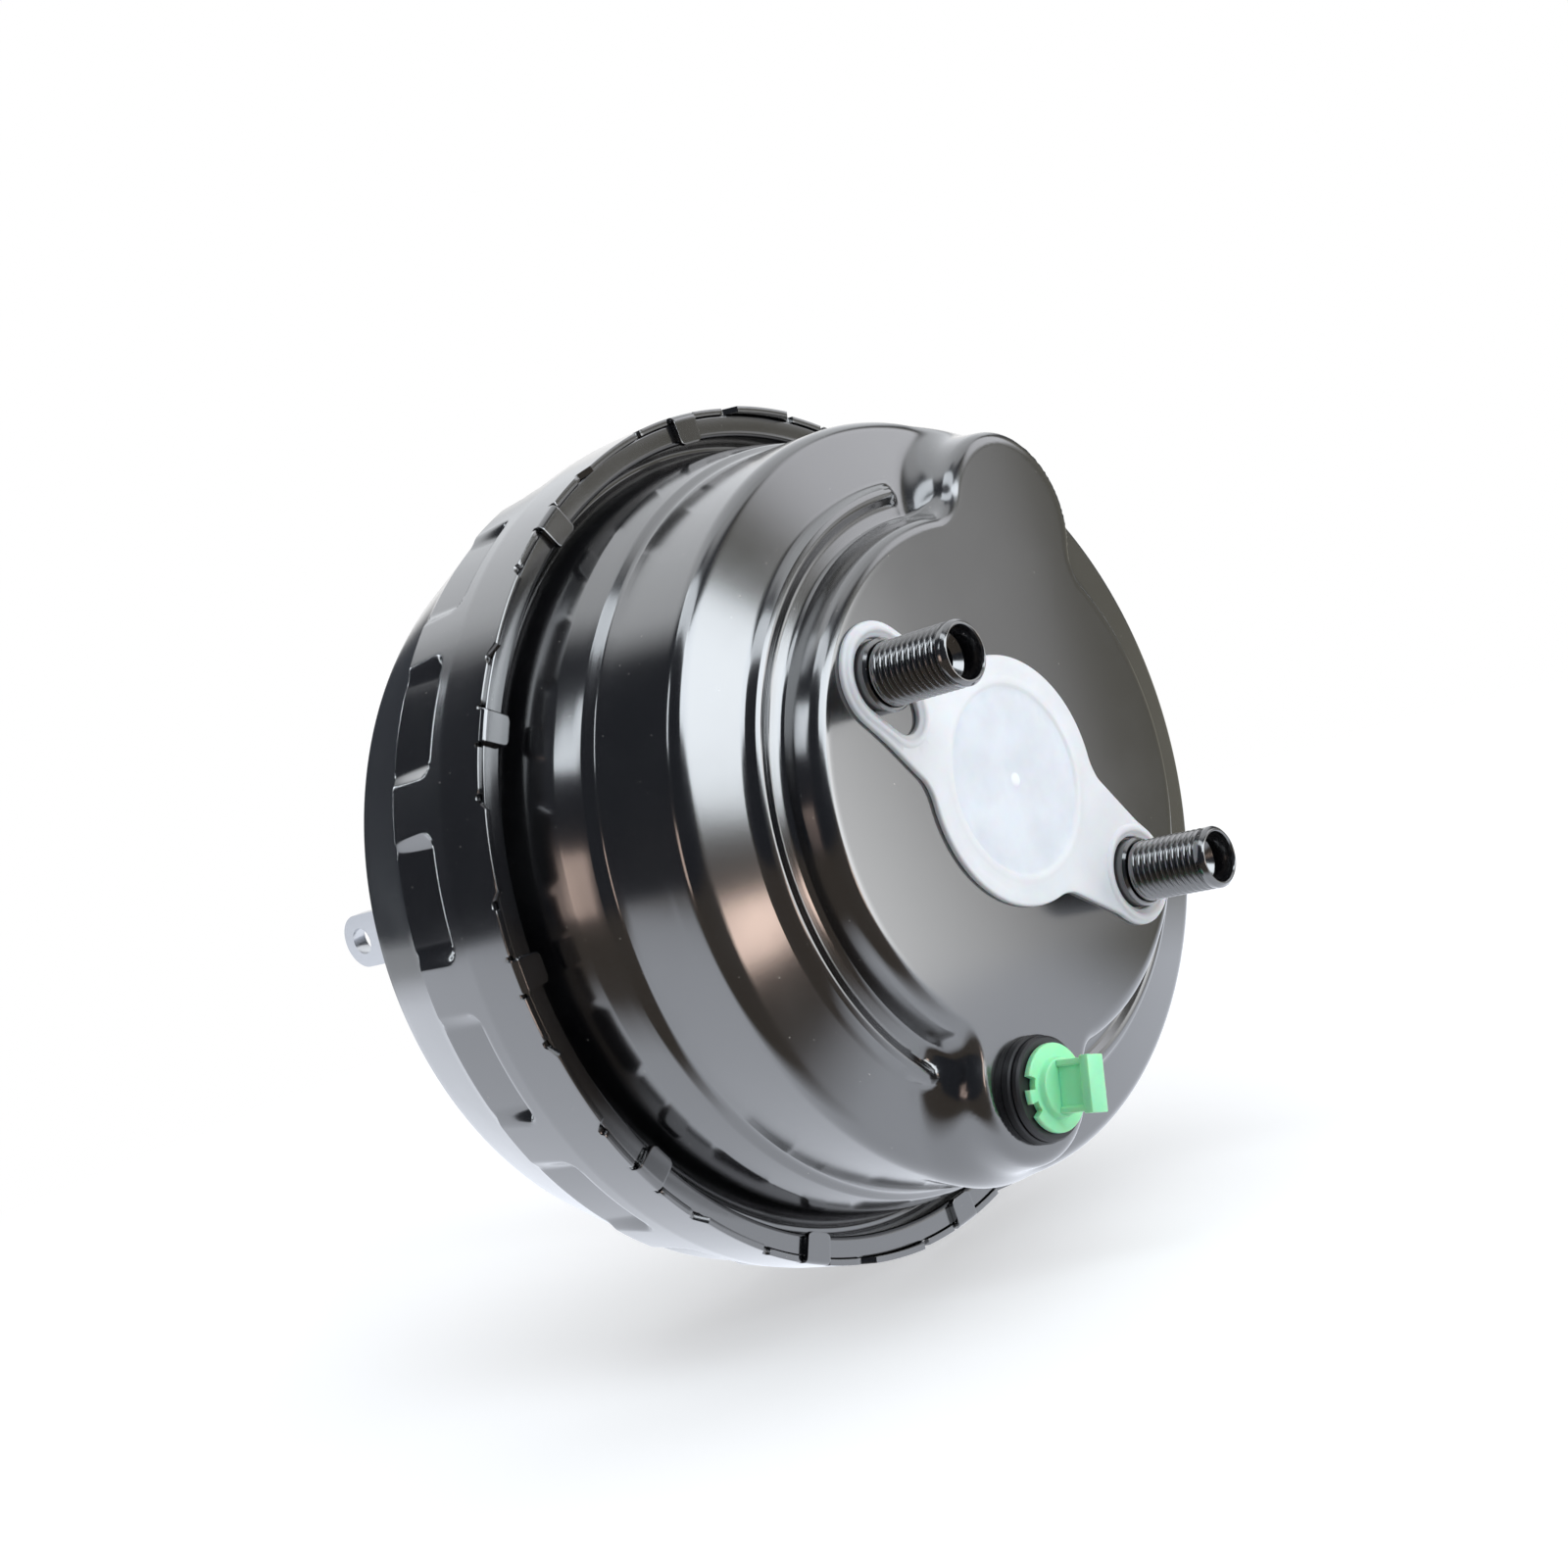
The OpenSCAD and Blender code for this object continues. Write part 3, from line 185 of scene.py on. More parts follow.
def blend_color(tree, share, first, second):
    """Colour between two others, each of them a socket or (red, green, blue)."""
    first, second = (color if isinstance(color, bpy.types.NodeSocket) else (*color, 1.0)
                     for color in (first, second))
    values = {MIX_SHARE: share, MIX_FIRST: first, MIX_SECOND: second}
    return node(tree, "ShaderNodeMix", values, data_type="RGBA").outputs[MIX_RESULT]


def along(tree, place, direction):
    """Distance of a place from the origin along a direction."""
    values = {0: place, 1: tuple(direction)}
    return node(tree, "ShaderNodeVectorMath", values, operation="DOT_PRODUCT").outputs["Value"]


def new_material(name):
    material = bpy.data.materials.new(name)
    material.use_nodes = True
    tree = material.node_tree
    coordinates = tree.nodes.new("ShaderNodeTexCoord")
    coordinates.name = "place"
    return material, tree, tree.nodes["Principled BSDF"]


def set_sockets(shader, values):
    for name, value in values.items():
        shader.inputs[name].default_value = value


def add_bump(tree, shader, height, distance, strength):
    values = {"Height": height, "Distance": distance, "Strength": strength}
    bump = node(tree, "ShaderNodeBump", values)
    tree.links.new(bump.outputs["Normal"], shader.inputs["Normal"])


def dip_coat(name):
    """Black dip coat: glossy, a little wavy, with faint smears and specks of dust."""
    clean, smeared, dusty = (0.006, 0.006, 0.007), (0.012, 0.012, 0.013), (0.3, 0.28, 0.25)
    material, tree, shader = new_material(name)
    smear = ramp(tree, noise(tree, 28.0, 4.0, 0.6), 0.42, 0.72)
    dust = ramp(tree, noise(tree, 900.0, 2.0), 0.76, 0.78)
    base = blend_color(tree, dust, blend_color(tree, smear, clean, smeared), dusty)
    tree.links.new(base, shader.inputs["Base Color"])
    tree.links.new(ramp(tree, smear, 0.0, 1.0, 0.15, 0.24), shader.inputs["Roughness"])
    set_sockets(shader, {"Specular IOR Level": 1.0, "Coat Weight": 1.0, "Coat IOR": 2.1,
                         "Coat Roughness": 0.14})
    add_bump(tree, shader, noise(tree, 420.0, 2.0), 0.00002, 0.25)
    return material


def plain(name, color, rough, metallic=0.0, grain=600.0, depth=0.00003, spread=0.08, tint=0.25):
    """Grained material, patchy by tint in its colour and by spread in its roughness."""
    material, tree, shader = new_material(name)
    patchy = noise(tree, grain * 0.05)
    darker = tuple(channel * (1.0 - tint) for channel in color)
    base = blend_color(tree, ramp(tree, patchy, 0.3, 0.7), darker, color)
    tree.links.new(base, shader.inputs["Base Color"])
    roughness = ramp(tree, patchy, 0.3, 0.7, rough - spread, rough + spread)
    tree.links.new(roughness, shader.inputs["Roughness"])
    set_sockets(shader, {"Metallic": metallic})
    add_bump(tree, shader, noise(tree, grain), depth, 0.5)
    return material


def from_axis(tree):
    """Distance from the main axis."""
    values = {0: tree.nodes["place"].outputs["Object"], 1: (0.0, 1.0, 1.0)}
    across = node(tree, "ShaderNodeVectorMath", values, operation="MULTIPLY").outputs["Vector"]
    return node(tree, "ShaderNodeVectorMath", {0: across}, operation="LENGTH").outputs["Value"]


def cover_plastic():
    """Milky plastic, with painted shade in its thinner middle over the bore for the dark bore seen through
    it, lighter at the gate.
    """
    material, tree, shader = new_material("cover_plastic")
    cloud = noise(tree, 60.0)
    thick = blend_color(tree, ramp(tree, cloud, 0.3, 0.7), (0.77, 0.775, 0.79), (0.82, 0.825, 0.84))
    # Painted shade: the middle over the bore is darker, standing in for the dark bore seen through the
    # plastic.
    thin = blend_color(tree, ramp(tree, cloud, 0.35, 0.65), (0.7, 0.72, 0.76), (0.78, 0.8, 0.84))
    radius = from_axis(tree)
    painted_shade_share = ramp(tree, radius, (RECESS_R + 0.2) * MM, (RECESS_R - 0.8) * MM)
    at_gate = ramp(tree, radius, GATE_R * MM, (GATE_R - 0.6) * MM)
    base = blend_color(tree, at_gate, blend_color(tree, painted_shade_share, thick, thin), (0.93, 0.93, 0.95))
    tree.links.new(base, shader.inputs["Base Color"])
    tree.links.new(ramp(tree, cloud, 0.3, 0.7, 0.38, 0.48), shader.inputs["Roughness"])
    set_sockets(shader, {"Subsurface Weight": 0.3, "Subsurface Scale": 0.002})
    add_bump(tree, shader, noise(tree, 500.0, 2.0), 0.00002, 0.5)
    return material


def plug_plastic():
    """Green plastic that lets some light in."""
    green = plain("plug_plastic", (0.38, 0.97, 0.54), 0.4, grain=500.0, spread=0.05, tint=0.12)
    shader = green.node_tree.nodes["Principled BSDF"]
    set_sockets(shader, {"Subsurface Weight": 0.6, "Subsurface Scale": 0.004})
    return green


def dress_nodes():
    """Gives every CAD node its material; returns the materials by slot."""
    zinc = plain("bright_zinc", (0.75, 0.76, 0.78), 0.22, metallic=1.0)
    looks = {
        "shell_black": dip_coat("shell_paint"),
        "tube_steel": dip_coat("tube_paint"),
        "plate_steel": plain("plate_steel", (0.5, 0.51, 0.53), 0.38, metallic=1.0),
        "spring_steel": plain("spring_steel", (0.25, 0.26, 0.28), 0.35, metallic=1.0),
        "bright_zinc": zinc,
        "valve_steel": zinc,
        "rubber_black": plain("rubber_black", (0.022, 0.022, 0.024), 0.42, grain=300.0, depth=0.00004),
        "housing_resin": plain("housing_resin", (0.05, 0.05, 0.055), 0.5),
        "bush_resin": plain("bush_resin", (0.75, 0.72, 0.62), 0.45),
        "filter_foam": plain("filter_foam", (0.12, 0.12, 0.11), 0.9, grain=900.0, depth=0.0003),
        "cover_plastic": cover_plastic(),
        "plug_plastic": plug_plastic(),
    }
    slots = {part["node"]: part["material_slot"] for part in frame["record"]["subparts"]}
    for name, thing in frame["nodes"].items():
        thing.data.materials.clear()
        thing.data.materials.append(looks[slots[name]])
    return looks


# Lines and distances

def turn_at(clock):
    """Unit vector from the axis towards a clock angle, as (y, z)."""
    return np.array((math.cos(math.radians(clock)), math.sin(math.radians(clock))))


def distance_to(points, centre):
    """Distance of points from the line along x through a centre (y, z)."""
    return np.hypot(points[..., 1] - centre[0], points[..., 2] - centre[1])


def polar(radius, station, clock):
    """Points from radius, station and clock angle."""
    radius, station, clock = np.broadcast_arrays(radius, station, clock)
    angle = np.radians(clock)
    return np.stack((station, radius * np.cos(angle), radius * np.sin(angle)), axis=-1)


def rounded(outline, arc_step=9.0):
    """Line along an outline, with arcs in its corners."""
    line = []
    for index, (radius, station, fillet) in enumerate(outline):
        corner = np.array((radius, station), dtype=float)
        if fillet == 0:
            line.append(corner)
            continue
        back = np.array(outline[index - 1][:2]) - corner
        ahead = np.array(outline[index + 1][:2]) - corner
        back /= np.linalg.norm(back)
        ahead /= np.linalg.norm(ahead)
        opening = math.acos(float(back @ ahead))
        inward = back + ahead
        middle = corner + inward / np.linalg.norm(inward) * fillet / math.sin(opening / 2)
        start = corner + back * fillet / math.tan(opening / 2) - middle
        finish = corner + ahead * fillet / math.tan(opening / 2) - middle
        sweep = math.pi - opening
        count = max(2, math.ceil(math.degrees(sweep) / arc_step))
        for step in range(count + 1):
            share = step / count
            spoke = start * math.sin((1 - share) * sweep) + finish * math.sin(share * sweep)
            line.append(middle + spoke / math.sin(sweep))
    return np.array(line)


def divided(line, longest):
    """The line with its long pieces divided; longest(radius, station) is the length allowed."""
    points = [line[0]]
    for a, b in zip(line[:-1], line[1:]):
        middle = (a + b) / 2
        count = max(1, math.ceil(np.linalg.norm(b - a) / longest(*middle) - 1e-6))
        for step in range(1, count + 1):
            points.append(a + (b - a) * step / count)
    return np.array(points)


def smooth_step(value):
    value = np.clip(value, 0, 1)
    return value * value * (3 - 2 * value)


def soft_min(a, b, width):
    """Lower of two values, blended where they are less than width apart."""
    share = np.clip(0.5 + 0.5 * (b - a) / width, 0, 1)
    return b + (a - b) * share - width * share * (1 - share)


def soft_max(a, b, width):
    return -soft_min(-a, -b, width)


def round_union(a, b, radius):
    """Union of two distances, with a fillet of that radius where they meet."""
    inner = np.hypot(np.maximum(radius - a, 0), np.maximum(radius - b, 0))
    return np.maximum(radius, np.minimum(a, b)) - inner


def round_cut(a, b, radius):
    """Common part of two distances, with its edge rounded to that radius."""
    outer = np.hypot(np.maximum(radius + a, 0), np.maximum(radius + b, 0))
    return np.minimum(-radius, np.maximum(a, b)) + outer


# Meshes

def to_mesh(name, points, faces):
    """Mesh in metres from points in millimetres and a list of faces."""
    mesh = bpy.data.meshes.new(name)
    mesh.from_pydata((np.asarray(points) * MM).tolist(), [], faces)
    return mesh


def smooth(mesh, sharp=SHARP_ANGLE):
    mesh.shade_smooth()
    mesh.set_sharp_from_angle(angle=math.radians(sharp))


def to_object(mesh, material, sharp=SHARP_ANGLE):
    """New object of a mesh, smooth apart from its sharp edges."""
    smooth(mesh, sharp)
    mesh.materials.append(material)
    thing = bpy.data.objects.new(mesh.name, mesh)
    bpy.context.scene.collection.objects.link(thing)
    return thing


def joined_object(name, points, faces, material, sharp):
    """New object in which points in the same place become one and every face looks outward."""
    mesh = to_mesh(name, points, faces)
    shape = bmesh.new()
    shape.from_mesh(mesh)
    bmesh.ops.remove_doubles(shape, verts=shape.verts[:], dist=0.000002)
    bmesh.ops.dissolve_degenerate(shape, edges=shape.edges[:], dist=0.000002)
    bmesh.ops.recalc_face_normals(shape, faces=shape.faces[:])
    shape.to_mesh(mesh)
    shape.free()
    return to_object(mesh, material, sharp)


def grid_faces(rows, columns, keep=None):
    """Quads of a grid that closes round its columns; keep says which cells stay."""
    row, column = np.meshgrid(np.arange(rows - 1), np.arange(columns), indexing="ij")
    after = (column + 1) % columns
    quads = np.stack((row * columns + column, row * columns + after,
                      (row + 1) * columns + after, (row + 1) * columns + column), axis=-1)
    return quads[keep] if keep is not None else quads.reshape(-1, 4)


def used_only(points, faces):
    """Points and faces without the points that no face uses."""
    used = np.zeros(len(points), dtype=bool)
    used[faces.ravel()] = True
    place = np.cumsum(used) - 1
    return points[used], place[faces]


def cut_hole(points, quads, centre, radius, within):
    """Quads without those that have a point within the hole; the points left round it move to its edge."""
    gone = within[quads].any(axis=1)
    ring = np.setdiff1d(quads[gone].ravel(), np.flatnonzero(within))
    share = (radius / distance_to(points[ring], centre))[:, None]
    points[ring, 1:] = centre + (points[ring, 1:] - centre) * share
    return quads[~gone]


def sheet_object(name, points, quads, material, edge=0.0):
    """Sheet whose outer side is the given surface, with its cut edges bevelled by edge."""
    mesh = to_mesh(name, points, quads.tolist())
    mesh.validate()
    thing = to_object(mesh, material)
    solid = thing.modifiers.new("sheet", "SOLIDIFY")
    solid.thickness = SHEET * MM
    solid.offset = -1.0
    if edge:
        bevel = thing.modifiers.new("edges", "BEVEL")
        bevel.width = edge * MM
        bevel.segments = 2
        bevel.limit_method = "ANGLE"
        bevel.angle_limit = math.radians(60.0)
    ready = thing.evaluated_get(bpy.context.evaluated_depsgraph_get())
    final = bpy.data.meshes.new_from_object(ready)
    thing.modifiers.clear()
    thing.data = final
    smooth(final)
    return thing


# Front shell

def cubic_weights(t):
    """Weights of four neighbours for a smooth curve through the two in the middle."""
    return (0.5 * t * (-1 + t * (2 - t)), 0.5 * (2 + t * t * (3 * t - 5)),
            0.5 * t * (1 + t * (4 - 3 * t)), 0.5 * t * t * (t - 1))


class ProfileTable:
    """Signed distance to a profile, kept on a grid and read with cubic weights."""
    FIRST_R, LAST_R, FIRST_X, LAST_X, CELL = 15.0, 126.0, 120.0, 176.0, 0.25

    def __init__(self, line):
        columns = np.arange(self.FIRST_R, self.LAST_R, self.CELL)
        stations = np.arange(self.FIRST_X, self.LAST_X, self.CELL)
        radius, station = np.meshgrid(columns, stations, indexing="ij")
        best = np.full(radius.shape, np.inf)
        inside = np.zeros(radius.shape, dtype=bool)
        closed = np.vstack((line, ((0.0, line[0, 1]),)))
        for a, b in zip(closed, np.roll(closed, -1, axis=0)):
            across = (a[1] > station) != (b[1] > station)
            slope = (b[0] - a[0]) / (b[1] - a[1]) if b[1] != a[1] else 0.0
            inside ^= across & (radius < a[0] + (station - a[1]) * slope)
        for a, b in zip(line[:-1], line[1:]):
            step = b - a
            share = ((radius - a[0]) * step[0] + (station - a[1]) * step[1]) / (step @ step)
            share = np.clip(share, 0, 1)
            off = np.hypot(radius - a[0] - share * step[0], station - a[1] - share * step[1])
            best = np.minimum(best, off)
        self.values = np.where(inside, -best, best)

    def __call__(self, radius, station):
        u = np.clip((radius - self.FIRST_R) / self.CELL, 1, self.values.shape[0] - 3)
        v = np.clip((station - self.FIRST_X) / self.CELL, 1, self.values.shape[1] - 3)
        i, j = u.astype(int), v.astype(int)
        total = 0.0
        for di, wi in enumerate(cubic_weights(u - i)):
            for dj, wj in enumerate(cubic_weights(v - j)):
                total = total + wi * wj * self.values[i + di - 1, j + dj - 1]
        return total


def front_field(table, p):
    """Distance of points to the outside of the front shell: drum, face, lobes and bead."""
    x, y, z = p[..., 0], p[..., 1], p[..., 2]
    radius = np.hypot(y, z)
    body = table(radius, x)
    for clock, at, lobe_r in LOBES:
        wall_r = lobe_r + LOBE_SPREAD - LOBE_LEAN * (x - LOBE_FOOT_X) / LOBE_RISE
        wall = (distance_to(p, turn_at(clock) * at) - wall_r) * LEAN_COSINE
        body = round_union(body, soft_max(wall, LOBE_BACK_X - x, LOBE_BACK_BLEND), LOBE_FILLET)
    clock = np.degrees(np.arctan2(z, y))
    for start, finish in BEAD_ARCS:
        half = (finish - start) / 2
        off = (clock - start - half + 180) % 360 - 180
        over = np.radians(np.maximum(np.abs(off) - half, 0)) * BEAD_AT
        bead = np.sqrt((radius - BEAD_AT) ** 2 + (x - BEAD_X) ** 2 + over ** 2) - BEAD_R
        body = soft_min(body, bead, BEAD_BLEND)
    return round_cut(body, x - FACE_X, FACE_EDGE)


def pull_to(field, p, rounds=1):
    """Points moved onto the zero surface of the field."""
    step, least_square = 0.04, 0.2
    for _ in range(rounds):
        slope = [(field(p + step * axis) - field(p - step * axis)) / (2 * step) for axis in np.eye(3)]
        slope = np.stack(slope, axis=-1)
        square = np.maximum((slope ** 2).sum(-1), least_square)
        p = p - slope * (field(p) / square)[..., None]
    return p


def raise_face(field, part):
    """Points of the flat front moved along x, and then all points pulled, to the zero surface."""
    shoulder_r, halvings = 109.0, 18
    raised = part.copy()
    low = part[..., 0].copy()
    high = np.full(low.shape, FACE_X + 0.5)
    for _ in range(halvings):
        middle = (low + high) / 2
        raised[..., 0] = middle
        solid = field(raised) < 0
        low, high = np.where(solid, middle, low), np.where(solid, high, middle)
    on_front = (part[..., 0] > LOBE_BACK_X) & (distance_to(part, (0.0, 0.0)) < shoulder_r)
    raised[..., 0] = np.where(on_front, (low + high) / 2, part[..., 0])
    return pull_to(field, raised, 4)


def even_out(field, part):
    """Points evened out round the lobes' walls and kept on the zero surface."""
    reach, reach_fade, start_x, start_fade = 15.0, 6.0, 141.0, 5.0
    rounds, pace = 60, 0.8
    near = np.zeros(part.shape[:2])
    for clock, at, lobe_r in LOBES:
        off_wall = np.abs(distance_to(part, turn_at(clock) * at) - lobe_r)
        near = np.maximum(near, np.clip((reach - off_wall) / reach_fade, 0, 1))
    near *= np.clip((part[..., 0] - start_x) / start_fade, 0, 1)
    near[[0, -1]] = 0
    active = near > 0
    for _ in range(rounds):
        around = (np.roll(part, 1, 1) + np.roll(part, -1, 1)) / 4
        around[1:-1] += (part[2:] + part[:-2]) / 4
        part = part + pace * near[..., None] * (around - part)
        part[active] = pull_to(field, part[active])
    return pull_to(field, part, 2)


def front_shell(material):
    """Front shell: a revolved drum whose front is blended into two lobes."""
    rim_row, face_row, lobe_row, face_r, columns = 3.0, 6.0, 1.1, 44.0, 480
    lobed_x, lobed_r, on_face_x, hole_reach = 137.5, 40.0, 160.0, 0.35
    rim = divided(rounded(RIM_LINE), lambda r, x: rim_row)
    front = rounded(FRONT_LINE, arc_step=8.0)
    front = divided(front, lambda r, x: face_row if r < face_r else lobe_row)
    line = np.vstack((rim, front[1:]))
    clock = np.arange(columns) * 360.0 / columns
    grid = polar(line[:, 0][:, None], line[:, 1][:, None], clock[None, :])
    table = ProfileTable(rounded(DRUM_LINE, arc_step=4.0))

    def field(p):
        return front_field(table, p)

    lobed = np.flatnonzero((line[:, 1] > lobed_x) & (line[:, 0] > lobed_r))
    rows = slice(lobed[0], lobed[-1] + 1)
    grid[rows] = even_out(field, raise_face(field, grid[rows]))
    points = grid.reshape(-1, 3)
    quads = grid_faces(len(line), columns)
    holes = [(PORT_CLOCK, PORT_AT, PORT_HOLE_R)]
    holes += [(tube_clock, TUBE_AT, TUBE_HOLE_R) for tube_clock in TUBE_CLOCKS]
    for hole_clock, at, hole_r in holes:
        centre = turn_at(hole_clock) * at
        within = (distance_to(points, centre) < hole_r + hole_reach) & (points[:, 0] > on_face_x)
        quads = cut_hole(points, quads, centre, hole_r, within)
    return sheet_object("front_shell_skin", *used_only(points, quads), material)


# Rear shell

def off_centre(clock, count, phase):
    """Angle from the nearest of count evenly spaced centres, the first of them at phase."""
    pitch = 360.0 / count
    return (clock - phase + pitch / 2) % pitch - pitch / 2


def pocketed(radius, station, clock):
    """Radius of the rear shell's side with its pockets pressed in."""
    from_end = np.radians(POCKET_HALF - np.abs(off_centre(clock, POCKETS, POCKET_CLOCK))) * POCKET_AT
    from_front = POCKET_X - station
    in_corner = np.hypot(np.maximum(POCKET_CORNER - from_end, 0), np.maximum(POCKET_CORNER - from_front, 0))
    share = smooth_step(from_end / POCKET_CORNER) * smooth_step((POCKET_CORNER - in_corner) / POCKET_EDGE)
    floor = np.interp(station, POCKET_FLOOR_X, POCKET_FLOOR_R)
    return radius - np.maximum(radius - floor, 0) * np.where(station > POCKET_BACK_X, share, 0.0)


def clock_lines():
    """Clock angles of the rear shell's mesh, close together at the pockets' ends and at the tabs."""
    coarse, fine, least, corner_angle = 1.25, 0.3, 0.17, 3.4
    lines = list(np.arange(0.0, 360.0, coarse))
    for index in range(POCKETS):
        for side in (-1, 1):
            edge = POCKET_CLOCK + index * 360.0 / POCKETS + side * POCKET_HALF
            lines += list(edge - side * np.arange(-fine, corner_angle, fine))
    exact = []
    for index in range(TABS):
        middle = TAB_CLOCK + index * 360.0 / TABS
        exact.append(middle)
        for side in (-1, 1):
            exact += [middle + side * off for off in (*TAB_COLUMNS, TAB_HALF, SLIT_HALF, *LIP_STEPS)]
    exact = np.sort(np.array(exact) % 360.0)
    lines = np.sort(np.array(lines) % 360.0)
    gap = np.abs((lines[:, None] - exact[None, :] + 180) % 360 - 180).min(axis=1)
    lines = np.sort(np.concatenate((lines[gap > least + 0.01], exact)))
    kept = [lines[0]]
    for value in lines[1:]:
        if value - kept[-1] > least or np.abs(exact - value).min() < 1e-9:
            kept.append(value)
    return np.array(kept)


def rear_row(radius, station):
    """Longest row of the rear shell's mesh: short at the pockets and round the tubes' holes."""
    side_x, hole_start_r, hole_end_r = 40.0, 46.0, 69.0
    if station > side_x:
        return 0.9
    return 1.2 if hole_start_r <= radius <= hole_end_r else 4.0


def rear_shell(material):
    """Rear shell: seat, cone and pocketed side, with a lip of longer and shorter stretches and its tabs."""
    tab_row, seat_x, edge_bevel = 0.8, 1.0, 0.3
    side = divided(rounded(REAR_LINE, arc_step=12.0), rear_row)
    line = np.vstack((side, [(LIP_R, x) for x in LIP_ROWS]))
    bend = [(LIP_R, ROOT_X, 0), (LIP_R, TAB_X, TAB_BEND), (TAB_TIP_R, TAB_X, 0)]
    bend = divided(rounded(bend, arc_step=15.0), lambda r, x: tab_row)[1:]
    lip_shares = np.append(LIP_SHARES, np.ones(len(bend) - len(LIP_SHARES)))
    clock = clock_lines()
    root, lip_end, rows = len(line), len(line) + len(LIP_SHARES), len(line) + len(bend)
    radius = np.repeat(line[:, 0][:, None], len(clock), axis=1)
    station = np.repeat(line[:, 1][:, None], len(clock), axis=1)
    radius = pocketed(radius, station, clock[None, :])

    off = off_centre(clock, TABS, TAB_CLOCK)
    edge = np.interp(np.abs(off), LIP_STEPS, LIP_EDGE)
    lip_x = ROOT_X + (edge - ROOT_X)[None, :] * lip_shares[:, None]
    is_tab = (np.abs(off) < TAB_HALF + 0.01)[None, :]
    radius = np.vstack((radius, np.where(is_tab, bend[:, 0][:, None], LIP_R)))
    station = np.vstack((station, np.where(is_tab, bend[:, 1][:, None], lip_x)))

    to_tip = np.where(bend[:, 1] > TAB_X - 0.1, bend[:, 0] - TAB_TIP_R, np.inf)
    in_corner = np.maximum(0.0, TAB_CORNER - to_tip)
    drawn_in = TAB_CORNER - np.sqrt(np.maximum(0.0, TAB_CORNER ** 2 - in_corner ** 2))
    narrower = 1.0 - drawn_in / (math.radians(TAB_HALF) * TAB_MIDDLE_R)
    angle = np.repeat(clock[None, :], rows, axis=0)
    angle[root:] -= np.where(is_tab, off[None, :] * (1.0 - narrower[:, None]), 0.0)
    points = polar(radius, station, angle).reshape(-1, 3)

    cell_middle = (clock + (np.roll(clock, -1) - clock) % 360 / 2) % 360
    cell_off = np.abs(off_centre(cell_middle, TABS, TAB_CLOCK))
    last = np.where(cell_off < TAB_HALF, rows, np.where(cell_off < SLIT_HALF, root, lip_end))
    quads = grid_faces(rows, len(clock), np.arange(1, rows)[:, None] < last[None, :])
    for tube_clock in TUBE_CLOCKS:
        centre = turn_at(tube_clock) * TUBE_AT
        within = (distance_to(points, centre) < REAR_HOLE_REACH) & (points[:, 0] < seat_x)
        quads = cut_hole(points, quads, centre, REAR_HOLE_R, within)
    return sheet_object("rear_shell_skin", *used_only(points, quads), material, edge_bevel)


# Tubes

def threaded_tubes(material):
    """Both hollow tubes, with the threads of their front ends cut as a helix."""
    rear_end, front_end = REAR_FLANGE_X + FLANGE_T, FRONT_FLANGE_X + FLANGE_T
    rear = [(END_R, 0.0), (END_R, REAR_FLANGE_X), (FLANGE_R, REAR_FLANGE_X), (FLANGE_R, rear_end),
            (PIPE_R, rear_end), (PIPE_R, FRONT_FLANGE_X), (FLANGE_R, FRONT_FLANGE_X),
            (FLANGE_R, front_end), (END_R, front_end), (END_R, THREAD_X), (THREAD_R, THREAD_X + 0.3)]
    thread_end = TUBE_TIP_X - 2.4
    stations = np.arange(THREAD_X + 0.6, thread_end, THREAD_PITCH / THREAD_ROWS)
    thread = [(THREAD_R, x) for x in stations]
    front = [(THREAD_R, TUBE_TIP_X - 1.3), (8.9, TUBE_TIP_X - 1.0), (8.2, TUBE_TIP_X - 0.25),
             (7.95, TUBE_TIP_X - 0.05), (7.6, TUBE_TIP_X), (7.4, TUBE_TIP_X - 0.15),
             (COUNTERBORE_R, TUBE_TIP_X - 0.6), (COUNTERBORE_R, COUNTERBORE_X),
             (SCREW_HOLE_R, SCREW_HOLE_X), (SCREW_HOLE_R, 0.0)]
    line = np.array(rear + thread + front)
    clock = np.arange(TUBE_COLUMNS) * 360.0 / TUBE_COLUMNS
    station = line[:, 1][:, None] + 0.0 * clock[None, :]
    turns = station / THREAD_PITCH - clock[None, :] / 360.0
    cut = (0.5 - 0.5 * np.cos(2 * np.pi * turns)) ** 1.3
    run_in = smooth_step((station - THREAD_X - 0.8) / 1.5)
    ends = run_in * smooth_step((thread_end - station) / 1.2)
    is_thread = np.zeros(len(line), dtype=bool)
    is_thread[len(rear):len(rear) + len(thread)] = True
    radius = line[:, 0][:, None] - np.where(is_thread[:, None], THREAD_DEPTH * cut * ends, 0.0)
    ring = polar(radius, station, clock[None, :]).reshape(-1, 3)
    quads = grid_faces(len(line) + 1, TUBE_COLUMNS) % len(ring)
    centres = [np.append(0.0, turn_at(tube_clock) * TUBE_AT) for tube_clock in TUBE_CLOCKS]
    points = np.vstack([ring + centre for centre in centres])
    faces = np.vstack([quads + tube * len(ring) for tube in range(len(centres))])
    mesh = to_mesh("stud_tubes", points, faces.tolist())
    mesh.validate()
    return to_object(mesh, material, sharp=50.0)


# Transport cover

def taper_bar(p, a, a_r, b, b_r):
    """Distance of flat points to two circles and their common tangents."""
    reach = np.linalg.norm(b - a)
    axis = (b - a) / reach
    on = (p - a) @ axis
    off = np.abs((p - a) @ np.array((-axis[1], axis[0])))
    lean = (a_r - b_r) / reach
    upright = math.sqrt(1 - lean * lean)
    turn = upright * on - lean * off
    side = upright * off + lean * on - a_r
    at_b = np.hypot(on - reach, off) - b_r
    return np.where(turn < 0, np.hypot(on, off) - a_r, np.where(turn > upright * reach, at_b, side))


def from_middle(p):
    return np.linalg.norm(p, axis=-1)


